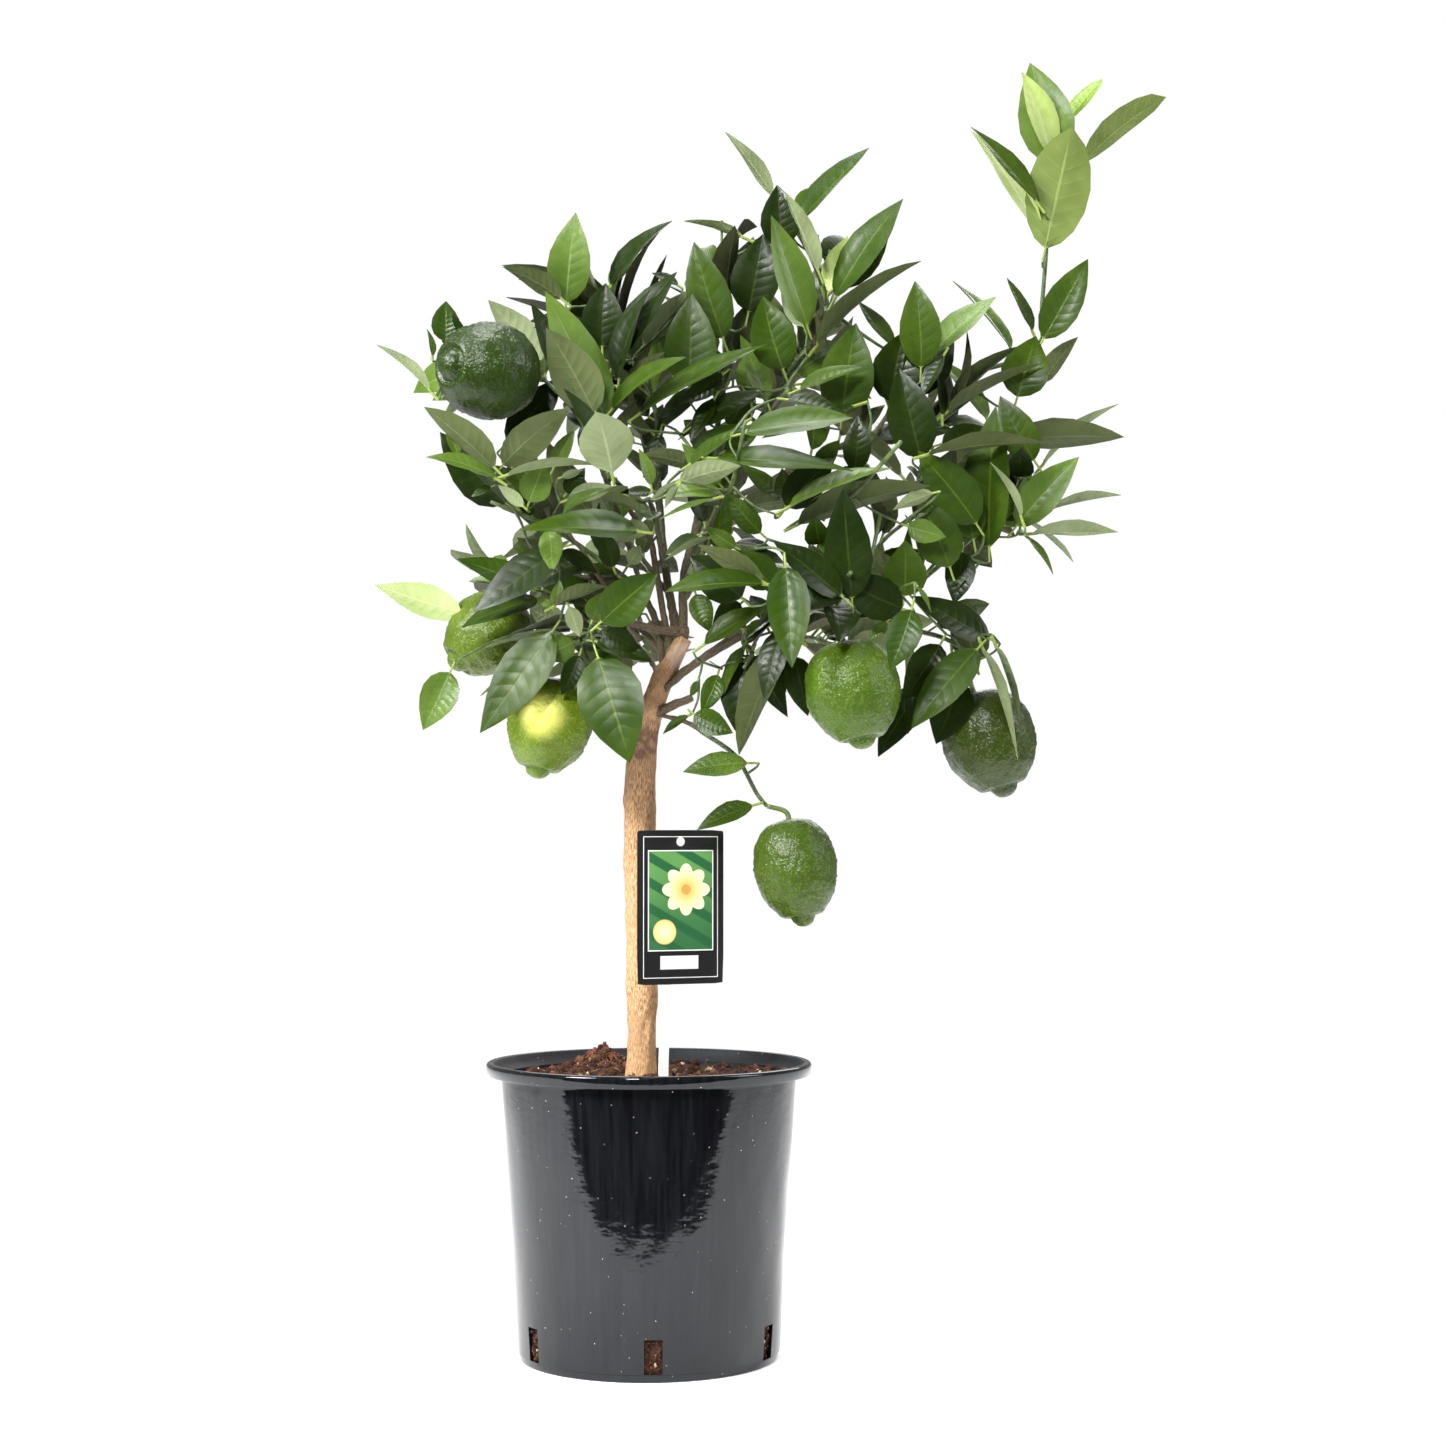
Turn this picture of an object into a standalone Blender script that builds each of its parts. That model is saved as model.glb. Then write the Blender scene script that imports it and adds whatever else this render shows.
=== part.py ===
"""Potted lemon tree: a small tree with six green lemons, in a round nursery pot with a plant label.

Metres, +Z up. The origin is the middle of the pot's flat underside, and -Y is the front.
Trunk and boughs are tapering tubes. Every bough carries one mass of leaves, which grows by a
seeded rule: a stem, shoots that run out to the edge of the mass's own space, and leaves set
round stem and shoots at the golden angle.
"""

import math

import bmesh
import bpy
import numpy as np
from mathutils import Vector
from mathutils.bvhtree import BVHTree

OBJECT_NAME = "potted_lemon_tree"
GAP = 0.0003  # between pieces that touch
UP = np.array((0.0, 0.0, 1.0))
ASIDE = np.array((0.31, 0.95, 0.05))  # no limb or shoot runs along it, so it gives each its first side
GOLDEN_ANGLE = math.pi * (3.0 - math.sqrt(5.0))

POT = {
    "height": 0.2045,
    "bottom_radius": 0.0906,
    "wall_top_radius": 0.1030,
    "lip_radius": 0.1138,
    "lip_height": 0.0085,
    "lip_width": 0.0052,
    "lip_roll": 0.0022,
    "lip_hem": 0.0012,
    "wall": 0.0016,
    "floor": 0.0025,
    "foot_height": 0.005,
    "foot_step": 0.0008,
    "sides": 40,
}
SLOT = {"count": 6, "turn": 3.5, "width": 0.0123, "low": 0.006, "high": 0.029, "cut_depth": 0.012}
SOIL = {
    "level": 0.194,
    "edge_drop": 0.004,
    "rings": 5,
    "flat_radius": 0.034,
    "blend": 0.03,
    "bumps": 0.0011,
    "waves": 5,
    "wave_length": (0.04, 0.09),
    "seed": 5,
}
SOIL_MOUND = {"place": (-0.036, 0.066), "radius": 0.026, "height": 0.010}

LABEL = {
    "width": 0.0645,
    "height": 0.106,
    "thickness": 0.0008,
    "corner": 0.002,
    "hole_radius": 0.0032,
    "hole_down": 0.008,
    "centre": (0.0225, -0.036, 0.3135),
    "yaw": 24.0,
}
STICK = {
    "width": 0.007,
    "thickness": 0.0012,
    "top": 0.345,
    "depth": 0.045,
    "lean": 1.4,
    "shift": -0.011,
}


TRUNK = {
    "path": (
        (-0.0055, 0.0, 0.1945),
        (-0.0050, 0.0, 0.262),
        (-0.0070, 0.0, 0.340),
        (-0.0060, 0.0, 0.412),
        (-0.0010, 0.0, 0.443),
        (0.0090, 0.0, 0.472),
        (0.0240, 0.0, 0.502),
    ),
    "radii": (0.0096, 0.0106, 0.0109, 0.0110, 0.0085, 0.0078, 0.0062),
    "rings": 15,
    "sides": 12,
}

# Each bough: the limb it leaves, how far along that limb, a point it passes, where its line ends, its
# radii, and how many of the nine points of its line are wood. The mass's stem takes the line on.
BOUGHS = {
    "left_leader": ("trunk", 0.97, (0.010, 0.004, 0.560), (0.002, 0.016, 0.672), 0.0046, 0.0024, 7),
    "right_leader": ("trunk", 0.985, (0.034, -0.008, 0.578), (0.122, 0.000, 0.728), 0.0048, 0.0020, 8),
    "right": ("trunk", 0.80, (0.085, -0.018, 0.514), (0.177, -0.028, 0.530), 0.0044, 0.0022, 8),
    "left": ("trunk", 0.86, (-0.004, -0.012, 0.530), (-0.066, -0.036, 0.575), 0.0040, 0.0020, 7),
    "low": ("trunk", 0.90, (-0.012, -0.008, 0.511), (-0.038, -0.020, 0.504), 0.0030, 0.0020, 6),
    "hanging": ("trunk", 0.70, (0.028, -0.018, 0.441), (0.046, -0.038, 0.427), 0.0024, 0.0017, 7),
    "top_middle": ("right_leader", 0.36, (0.050, 0.006, 0.665), (0.053, 0.004, 0.705), 0.0030, 0.0018, 6),
    "centre_low": ("right_leader", 0.20, (0.052, -0.046, 0.560), (0.068, -0.090, 0.556), 0.0026, 0.0019, 5),
    "right_middle": ("right_leader", 0.55, (0.128, -0.02, 0.632), (0.160, -0.028, 0.646), 0.0032, 0.0019, 6),
    "right_top": ("right_middle", 0.55, (0.186, 0.000, 0.645), (0.222, -0.014, 0.667), 0.0026, 0.0018, 6),
    "leader": ("right_top", 0.50, (0.205, 0.028, 0.672), (0.262, 0.014, 0.716), 0.0024, 0.0018, 7),
    "front_right": ("right_middle", 0.30, (0.130, -0.075, 0.598), (0.138, -0.098, 0.590), 0.0026, 0.0018, 5),
    "front_middle": ("right_leader", 0.30, (0.052, -0.07, 0.594), (0.058, -0.10, 0.598), 0.0026, 0.0018, 5),
    "centre_fruit": ("right", 0.56, (0.122, -0.062, 0.526), (0.131, -0.092, 0.532), 0.0028, 0.0019, 5),
    "right_fruit": ("right", 0.80, (0.182, -0.012, 0.508), (0.206, -0.022, 0.500), 0.0026, 0.0019, 5),
    "low_middle": ("right", 0.40, (0.066, -0.044, 0.496), (0.072, -0.056, 0.488), 0.0026, 0.0018, 5),
    "left_fruit": ("left", 0.62, (-0.068, -0.006, 0.545), (-0.086, 0.002, 0.540), 0.0026, 0.0018, 5),
    "left_high": ("left", 0.45, (-0.030, -0.048, 0.610), (-0.048, -0.066, 0.650), 0.0028, 0.0018, 5),
    "front_left": ("left_leader", 0.45, (0.002, -0.064, 0.590), (-0.006, -0.092, 0.588), 0.0026, 0.0018, 5),
    "back_left": ("left_leader", 0.30, (-0.016, 0.062, 0.575), (-0.040, 0.092, 0.592), 0.0028, 0.0019, 5),
    "back_high_left": ("left_leader", 0.65, (-0.01, 0.072, 0.665), (-0.02, 0.092, 0.69), 0.0026, 0.0018, 5),
    "back_middle": ("right_leader", 0.28, (0.050, 0.070, 0.590), (0.062, 0.105, 0.606), 0.0028, 0.0019, 5),
    "back_high": ("right_leader", 0.72, (0.100, 0.064, 0.690), (0.108, 0.086, 0.706), 0.0026, 0.0018, 5),
    "back_right": ("right", 0.70, (0.152, 0.055, 0.556), (0.176, 0.086, 0.586), 0.0028, 0.0019, 5),
    "back_low_right": ("right", 0.48, (0.100, 0.050, 0.505), (0.118, 0.080, 0.508), 0.0026, 0.0018, 5),
    "back_low_left": ("trunk", 0.83, (-0.004, 0.046, 0.494), (-0.018, 0.070, 0.504), 0.0028, 0.0019, 5),
}
BOUGH_POINTS = 9
BOUGH_BEVEL = 1  # gives six sides

# Each mass: its bough, the heart and half sizes of its own space, the furthest leaf tips that set the
# crown's outline, how many more shoots the rule adds, a leaf's length, and the seed. A bare stem has
# leaves on its shoots alone, and face is the way the upper sides of the leaves look, if not outwards.
MASSES = {
    "leader": {
        "bough": "leader", "heart": (0.281, 0.002, 0.824), "reach": (0.098, 0.080, 0.125),
        "bare_stem": True, "face": (-0.1, -1.0, 0.0),
        "tips": ((0.267, -0.010, 0.912), (0.297, -0.032, 0.858), (0.366, 0.0, 0.889), (0.225, -0.014, 0.863),
                 (0.325, 0.034, 0.906), (0.262, 0.044, 0.898), (0.309, -0.012, 0.768),
                 (0.254, 0.012, 0.762)),
        "shoots": 1, "leaf": 0.084, "seed": 1,
    },
    "right_top": {
        "bough": "right_top", "heart": (0.250, 0.0, 0.690), "reach": (0.066, 0.060, 0.062),
        "tips": ((0.306, 0.022, 0.722), (0.245, 0.030, 0.748), (0.206, -0.040, 0.655)),
        "shoots": 5, "leaf": 0.072, "seed": 2,
    },
    "right_tip": {
        "bough": "right", "heart": (0.256, -0.026, 0.596), "reach": (0.082, 0.075, 0.068),
        "tips": ((0.335, 0.0, 0.647), (0.332, 0.004, 0.604), (0.321, -0.022, 0.577), (0.281, -0.030, 0.546),
                 (0.292, -0.070, 0.622), (0.232, -0.088, 0.652)),
        "shoots": 4, "leaf": 0.074, "seed": 3,
    },
    "right_fruit": {
        "bough": "right_fruit", "heart": (0.222, -0.024, 0.490), "reach": (0.066, 0.070, 0.075),
        "tips": ((0.178, -0.062, 0.440), (0.258, -0.050, 0.446)),
        "shoots": 5, "leaf": 0.072, "seed": 4,
    },
    "centre_fruit": {
        "bough": "centre_fruit", "heart": (0.136, -0.122, 0.536), "reach": (0.072, 0.072, 0.070),
        "tips": ((0.132, -0.158, 0.514), (0.094, -0.146, 0.472), (0.198, -0.120, 0.556)),
        "shoots": 5, "leaf": 0.078, "seed": 5,
    },
    "right_middle": {
        "bough": "right_middle", "heart": (0.184, -0.034, 0.688), "reach": (0.062, 0.066, 0.062),
        "tips": ((0.185, -0.030, 0.750), (0.198, -0.080, 0.684), (0.150, -0.050, 0.735)),
        "shoots": 6, "leaf": 0.076, "seed": 6,
    },
    "top": {
        "bough": "right_leader", "heart": (0.128, 0.0, 0.778), "reach": (0.066, 0.070, 0.074),
        "tips": ((0.155, 0.0, 0.851), (0.178, -0.020, 0.809), (0.187, -0.036, 0.762), (0.086, -0.036, 0.797),
                 (0.097, 0.006, 0.822)),
        "shoots": 5, "leaf": 0.076, "seed": 7,
    },
    "top_middle": {
        "bough": "top_middle", "heart": (0.050, 0.0, 0.770), "reach": (0.060, 0.070, 0.100),
        "tips": ((0.052, 0.018, 0.871), (0.028, -0.036, 0.778), (0.018, 0.020, 0.806),
                 (0.060, -0.045, 0.785)),
        "shoots": 6, "leaf": 0.076, "seed": 8,
    },
    "front_middle": {
        "bough": "front_middle", "heart": (0.066, -0.140, 0.632), "reach": (0.088, 0.072, 0.080),
        "tips": ((0.060, -0.160, 0.705), (0.120, -0.190, 0.640), (0.015, -0.195, 0.625)),
        "shoots": 8, "leaf": 0.080, "seed": 9,
    },
    "centre_low": {
        "bough": "centre_low", "heart": (0.074, -0.120, 0.552), "reach": (0.066, 0.070, 0.062),
        "tips": ((0.052, -0.170, 0.520), (0.098, -0.180, 0.570)),
        "shoots": 4, "leaf": 0.076, "seed": 26,
    },
    "top_left": {
        "bough": "left_leader", "heart": (-0.032, 0.010, 0.735), "reach": (0.080, 0.076, 0.074),
        "tips": ((-0.054, 0.010, 0.807), (-0.105, 0.0, 0.767), (0.012, 0.020, 0.803),
                 (-0.030, -0.040, 0.752)),
        "shoots": 7, "leaf": 0.080, "seed": 10,
    },
    "left_high": {
        "bough": "left_high", "heart": (-0.088, -0.036, 0.694), "reach": (0.100, 0.080, 0.070),
        "tips": ((-0.137, -0.060, 0.727), (-0.186, -0.056, 0.700), (-0.150, -0.110, 0.640),
                 (-0.066, -0.120, 0.724)),
        "shoots": 4, "leaf": 0.076, "seed": 11,
    },
    "left": {
        "bough": "left", "heart": (-0.108, -0.052, 0.592), "reach": (0.060, 0.070, 0.070),
        "tips": ((-0.154, -0.040, 0.627), (-0.132, -0.066, 0.551), (-0.117, -0.090, 0.514)),
        "shoots": 6, "leaf": 0.074, "seed": 12,
    },
    "left_fruit": {
        "bough": "left_fruit", "heart": (-0.112, 0.034, 0.548), "reach": (0.084, 0.074, 0.086),
        "tips": ((-0.192, 0.004, 0.541), (-0.160, 0.006, 0.440)),
        "shoots": 5, "leaf": 0.074, "seed": 13,
    },
    "low_left": {
        "bough": "low", "heart": (-0.066, -0.038, 0.492), "reach": (0.066, 0.066, 0.082),
        "tips": ((-0.112, -0.074, 0.434), (-0.012, -0.082, 0.413)),
        "shoots": 5, "leaf": 0.078, "seed": 14,
    },
    "front_left": {
        "bough": "front_left", "heart": (-0.024, -0.138, 0.600), "reach": (0.076, 0.070, 0.076),
        "tips": ((-0.060, -0.175, 0.640), (-0.030, -0.190, 0.560), (-0.015, -0.160, 0.670)),
        "shoots": 7, "leaf": 0.080, "seed": 15,
    },
    "low_middle": {
        "bough": "low_middle", "heart": (0.066, -0.078, 0.476), "reach": (0.058, 0.062, 0.062),
        "tips": ((0.060, -0.090, 0.424), (0.030, -0.060, 0.436)),
        "shoots": 5, "leaf": 0.070, "seed": 16,
    },
    "hanging_fruit": {
        "bough": "hanging", "heart": (0.080, -0.044, 0.390), "reach": (0.066, 0.050, 0.070),
        "bare_stem": True,
        "tips": ((0.022, -0.060, 0.408), (0.034, -0.028, 0.367)),
        "shoots": 0, "leaf": 0.045, "seed": 17,
    },
    "front_right": {
        "bough": "front_right", "heart": (0.168, -0.140, 0.620), "reach": (0.066, 0.070, 0.066),
        "tips": ((0.150, -0.160, 0.680), (0.215, -0.170, 0.600), (0.120, -0.200, 0.620)),
        "shoots": 6, "leaf": 0.078, "seed": 18,
    },
    "back_left": {
        "bough": "back_left", "heart": (-0.078, 0.112, 0.600), "reach": (0.084, 0.080, 0.078),
        "tips": (), "shoots": 6, "leaf": 0.074, "seed": 19,
    },
    "back_high_left": {
        "bough": "back_high_left", "heart": (-0.028, 0.112, 0.712), "reach": (0.080, 0.078, 0.074),
        "tips": (), "shoots": 6, "leaf": 0.074, "seed": 20,
    },
    "back_middle": {
        "bough": "back_middle", "heart": (0.066, 0.150, 0.622), "reach": (0.080, 0.072, 0.076),
        "tips": (), "shoots": 6, "leaf": 0.074, "seed": 21,
    },
    "back_high": {
        "bough": "back_high", "heart": (0.112, 0.112, 0.730), "reach": (0.080, 0.070, 0.074),
        "tips": (), "shoots": 6, "leaf": 0.074, "seed": 22,
    },
    "back_right": {
        "bough": "back_right", "heart": (0.214, 0.104, 0.612), "reach": (0.084, 0.080, 0.080),
        "tips": (), "shoots": 6, "leaf": 0.072, "seed": 23,
    },
    "back_low_right": {
        "bough": "back_low_right", "heart": (0.142, 0.098, 0.500), "reach": (0.078, 0.072, 0.062),
        "tips": (), "shoots": 5, "leaf": 0.070, "seed": 24,
    },
    "back_low_left": {
        "bough": "back_low_left", "heart": (-0.036, 0.094, 0.490), "reach": (0.074, 0.070, 0.060),
        "tips": (), "shoots": 5, "leaf": 0.070, "seed": 25,
    },
}

# Each lemon hangs in the mass of the same name: its middle, the way its nipple points, width and length.
LEMONS = {
    "right_fruit": ((0.235, -0.028, 0.427), (0.10, -0.05, -1.0), 0.065, 0.079),
    "centre_fruit": ((0.137, -0.100, 0.456), (0.08, -0.12, -1.0), 0.0635, 0.076),
    "left_high": ((-0.107, -0.088, 0.673), (-0.85, -0.55, -0.08), 0.066, 0.077),
    "left_fruit": ((-0.115, 0.0, 0.504), (-0.62, -0.25, -0.60), 0.058, 0.070),
    "low_left": ((-0.069, -0.020, 0.438), (-0.26, -0.10, -1.0), 0.059, 0.074),
    "hanging_fruit": ((0.101, -0.046, 0.339), (0.16, -0.10, -1.0), 0.057, 0.077),
}

CROWN = {"axis": (0.07, 0.02, 0.0), "core": 0.06, "up": 0.55}
ROOM = 1.04  # how far past its own space a leaf tip may come
STEM = {"radii": (0.0024, 0.0019), "straight": 0.004, "points": 6}
SHOOT = {
    "radii": (0.0019, 0.0014),
    "rings": 3,
    "from": (0.30, 0.98),  # the stretch of stem that shoots leave, in places steps
    "places": 18,
    "slip": 0.12,
    "ahead": 0.25,
    "shortest": 0.15,
    "sag": 0.07,
    "leaf": (0.95, 1.1),  # its last leaf's length, of the mass's
}
SPREAD = {"behind": -0.45, "near": 0.62, "far": 0.98}  # where in the mass's space the rule puts its own tips
STALK = {"radius": 0.0022, "bend": 0.35, "sunk": 0.008, "points": 5}
LEAF = {
    "width": 0.48,  # of its length
    "widest": 0.42,
    "thickness": 0.0012,
    "fold": 0.26,  # height of the edges over the midrib, of the half width
    "arch": 0.08,  # rise of the middle over the line from root to tip, of the length
    "root": 0.0004,  # sunk past the middle of the shoot
    "root_thickness": 0.0008,
    "clear_from": 0.06,  # the share next to the root that may meet the shoot's other leaves
    "spacing": 0.0120,
    "first": 0.3,  # of a spacing
    "last": 0.06,  # of the shoot
    "sizes": (0.80, 1.10),
    "smaller": 0.05,  # for each seat further back
    "roll": 0.6,
    "opening": (46, 7, 4),  # degrees, how many more each seat back, and up to which seat
    "lift": 0.22,
    "stretch": 0.22,  # how far a leaf's length may differ from its mass's, to reach a tip without a shoot
}
TURNS = (0.0, 0.7, -0.7, 1.5, -1.5, 2.4)  # a leaf that touches something tries these turns round its shoot
LEMON = {"sides": 10, "rings": 8, "tip_share": 0.10, "tip_width": 0.30, "neck": 0.85, "shoulder": 0.9}


def clear_scene():
    for obj in list(bpy.data.objects):
        bpy.data.objects.remove(obj, do_unlink=True)


def new_collection(name):
    collection = bpy.data.collections.new(name)
    bpy.context.scene.collection.children.link(collection)
    return collection


def new_material(name, colour, roughness, metallic=0.0):
    material = bpy.data.materials.new(name)
    material.use_nodes = True
    shader = material.node_tree.nodes["Principled BSDF"]
    shader.inputs["Base Color"].default_value = (*colour, 1.0)
    shader.inputs["Roughness"].default_value = roughness
    shader.inputs["Metallic"].default_value = metallic
    material.diffuse_color = (*colour, 1.0)
    return material


def unit(vector):
    return vector / np.linalg.norm(vector)


def smooth_path(points, count):
    """A Catmull-Rom curve through the points, read at count even steps."""
    knots = np.array(points, dtype=float)
    knots = np.vstack((2 * knots[0] - knots[1], knots, 2 * knots[-1] - knots[-2]))
    at = np.linspace(0.0, len(points) - 1.0, count)
    span = np.minimum(at.astype(int), len(points) - 2)
    t = (at - span)[:, None]
    a, b, c, d = (knots[span + k] for k in range(4))
    return 0.5 * (2 * b + (c - a) * t + (2 * a - 5 * b + 4 * c - d) * t**2 + (3 * b - a - 3 * c + d) * t**3)


def smooth_radii(radii, count):
    return np.interp(np.linspace(0.0, 1.0, count), np.linspace(0.0, 1.0, len(radii)), radii)


def point_at(path, share):
    """The place on a path and its direction there."""
    at = share * (len(path) - 1)
    k = min(int(at), len(path) - 2)
    return path[k] + (at - k) * (path[k + 1] - path[k]), unit(path[k + 1] - path[k])


def mesh_object(name, points, faces, collection, material=None):
    mesh = bpy.data.meshes.new(name)
    mesh.from_pydata([tuple(p) for p in points], [], faces)
    mesh.update()
    if material:
        mesh.materials.append(material)
    obj = bpy.data.objects.new(name, mesh)
    collection.objects.link(obj)
    return obj


def tree_of(obj):
    mesh = obj.data
    return BVHTree.FromPolygons([v.co for v in mesh.vertices], [p.vertices for p in mesh.polygons])


def apply_modifiers(obj):
    graph = bpy.context.evaluated_depsgraph_get()
    mesh = bpy.data.meshes.new_from_object(obj.evaluated_get(graph))
    obj.modifiers.clear()
    obj.data = mesh


def keep_main_body(obj):
    """Drops loose scraps, and the inner walls of hollows that fusing or cutting has sealed."""
    shape = bmesh.new()
    shape.from_mesh(obj.data)
    left, bodies = set(shape.verts), []
    while left:
        body, front = set(), [left.pop()]
        while front:
            vertex = front.pop()
            body.add(vertex)
            near = {edge.other_vert(vertex) for edge in vertex.link_edges} & left
            left -= near
            front += near
        bodies.append(body)
    bodies.sort(key=len)
    bmesh.ops.delete(shape, geom=[vertex for body in bodies[:-1] for vertex in body], context="VERTS")
    shape.to_mesh(obj.data)
    shape.free()


def make_round(obj):
    obj.data.shade_smooth()
    obj.data.set_sharp_from_angle(angle=math.radians(40))


def turned(name, profile, sides, collection, material):
    """A profile of (radius, height) points turned once round the Z axis by a Screw modifier."""
    mesh = bpy.data.meshes.new(name)
    edges = [(k, k + 1) for k in range(len(profile) - 1)]
    mesh.from_pydata([(r, 0.0, z) for r, z in profile], edges, [])
    mesh.materials.append(material)
    obj = bpy.data.objects.new(name, mesh)
    collection.objects.link(obj)
    screw = obj.modifiers.new("turn", "SCREW")
    screw.steps = screw.render_steps = sides
    screw.use_merge_vertices = True
    screw.merge_threshold = 0.00001
    return obj


def limb(name, path, radii, sides_bevel, collection, material=None):
    """A tapering tube with flat ends: a bevelled curve with a radius at each point, made a mesh."""
    curve = bpy.data.curves.new(name, "CURVE")
    curve.dimensions = "3D"
    curve.bevel_depth = 1.0
    curve.bevel_resolution = sides_bevel
    curve.use_fill_caps = True
    spline = curve.splines.new("POLY")
    spline.points.add(len(path) - 1)
    for place, point, radius in zip(spline.points, path, radii):
        place.co = (*point, 1.0)
        place.radius = radius
    drawn = bpy.data.objects.new(name + "_curve", curve)
    collection.objects.link(drawn)
    graph = bpy.context.evaluated_depsgraph_get()
    mesh = bpy.data.meshes.new_from_object(drawn.evaluated_get(graph))
    mesh.name = name
    solid = bmesh.new()
    solid.from_mesh(mesh)
    bmesh.ops.remove_doubles(solid, verts=solid.verts, dist=0.00001)
    bmesh.ops.recalc_face_normals(solid, faces=solid.faces)
    solid.to_mesh(mesh)
    solid.free()
    if material:
        mesh.materials.append(material)
    obj = bpy.data.objects.new(name, mesh)
    obj.matrix_world = drawn.matrix_world
    collection.objects.link(obj)
    bpy.data.objects.remove(drawn, do_unlink=True)
    make_round(obj)
    return obj


def cut(obj, cutter):
    """Takes the cutter's space out of obj."""
    boolean = obj.modifiers.new("clear_of_" + cutter.name, "BOOLEAN")
    boolean.operation = "DIFFERENCE"
    boolean.object = cutter


def as_cutter(obj):
    obj.hide_render = True
    obj.display_type = "WIRE"
    return obj


def pot_profile():
    """Wall, floor and rolled lip as (radius, height), from the inner floor up, over the lip and down."""
    p = POT
    inner_bottom = p["bottom_radius"] - p["wall"]
    inner_top = p["wall_top_radius"] - p["wall"]
    lip_low = p["height"] - p["lip_height"]
    roll = p["lip_roll"]
    mouth = p["lip_radius"] - p["lip_width"]
    hem = p["lip_hem"]
    middle = (p["lip_radius"] - roll, p["height"] - roll)
    arc = [math.radians(a) for a in (90, 60, 30, 0)]
    lip = [(middle[0] + roll * math.cos(a), middle[1] + roll * math.sin(a)) for a in arc]
    return [
        (0.0, p["floor"]),
        (inner_bottom, p["floor"]),
        (inner_top, lip_low),
        (mouth - hem, p["height"] - 3 * hem),
        (mouth, p["height"]),
        *lip,
        (p["lip_radius"], lip_low + hem),
        (p["lip_radius"] - hem, lip_low),
        (p["lip_radius"] - 2.5 * hem, lip_low + hem),
        (p["wall_top_radius"] + p["foot_step"], lip_low + hem),
        (p["wall_top_radius"], lip_low - 3 * hem),
        (p["bottom_radius"] + p["foot_step"], p["foot_height"] + p["foot_step"]),
        (p["bottom_radius"], p["foot_height"]),
        (p["bottom_radius"] - p["foot_step"] / 2, p["wall"]),
        (p["bottom_radius"] - p["wall"], 0.0),
        (0.0, 0.0),
    ]


def inner_radius(height):
    """Radius of the pot's inside at a height, up to the bottom of the lip."""
    share = (height - POT["floor"]) / (POT["height"] - POT["lip_height"] - POT["floor"])
    narrow = POT["bottom_radius"] - POT["wall"]
    return narrow + share * (POT["wall_top_radius"] - POT["wall"] - narrow)


def build_pot(parts, cutters):
    black = new_material("pot_plastic", (0.012, 0.013, 0.014), 0.22)
    pot = turned("pot", pot_profile(), POT["sides"], parts, black)
    make_round(pot)
    for k in range(SLOT["count"]):
        bpy.ops.mesh.primitive_cube_add(size=1.0)
        slot = bpy.context.object
        slot.name = f"slot_cutter_{k + 1}"
        slot.scale = (SLOT["width"], SLOT["cut_depth"], SLOT["high"] - SLOT["low"])
        turn = math.radians(SLOT["turn"] + 360.0 / SLOT["count"] * k)
        middle = POT["bottom_radius"]
        slot.location = (middle * math.sin(turn), -middle * math.cos(turn), (SLOT["low"] + SLOT["high"]) / 2)
        slot.rotation_euler = (0.0, 0.0, turn)
        for held in list(slot.users_collection):
            held.objects.unlink(slot)
        cutters.objects.link(slot)
        cut(pot, as_cutter(slot))
    return pot


def soil_height(x, y):
    """Height of the soil's top: flat round the trunk and the stick, uneven further out, with one mound."""
    rng = np.random.default_rng(SOIL["seed"])
    height = SOIL["level"]
    from_trunk = math.hypot(x - TRUNK["path"][0][0], y)
    out = min(max((from_trunk - SOIL["flat_radius"]) / SOIL["blend"], 0.0), 1.0)
    for _ in range(SOIL["waves"]):
        turn, phase = rng.uniform(0.0, 2 * math.pi, 2)
        wave = 2 * math.pi / rng.uniform(*SOIL["wave_length"])
        along = x * math.cos(turn) + y * math.sin(turn)
        height += out * SOIL["bumps"] * math.sin(wave * along + phase)
    away = math.hypot(x - SOIL_MOUND["place"][0], y - SOIL_MOUND["place"][1]) / SOIL_MOUND["radius"]
    return height + out * SOIL_MOUND["height"] * math.exp(-2.0 * away**2)


def build_soil(parts, cutters):
    """The filling of the pot: a turned plug whose top is then made uneven, with a slit for the stick."""
    foot = POT["floor"] + GAP
    edge = SOIL["level"] - SOIL["edge_drop"]
    top_radius = inner_radius(edge) - GAP
    top = [(top_radius * k / SOIL["rings"], SOIL["level"]) for k in range(SOIL["rings"])]
    profile = top + [(top_radius, edge), (inner_radius(foot) - 2 * GAP, foot), (0.0, foot)]
    peat = new_material("peat_soil", (0.045, 0.022, 0.012), 0.95)
    soil = turned("soil", profile, POT["sides"], parts, peat)
    apply_modifiers(soil)
    for vertex in soil.data.vertices:
        if vertex.co.z > edge + GAP:
            vertex.co.z = soil_height(vertex.co.x, vertex.co.y)
    make_round(soil)
    slit = stick_box("stick_slit", GAP, cutters, None)
    cut(soil, as_cutter(slit))
    return soil


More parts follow.
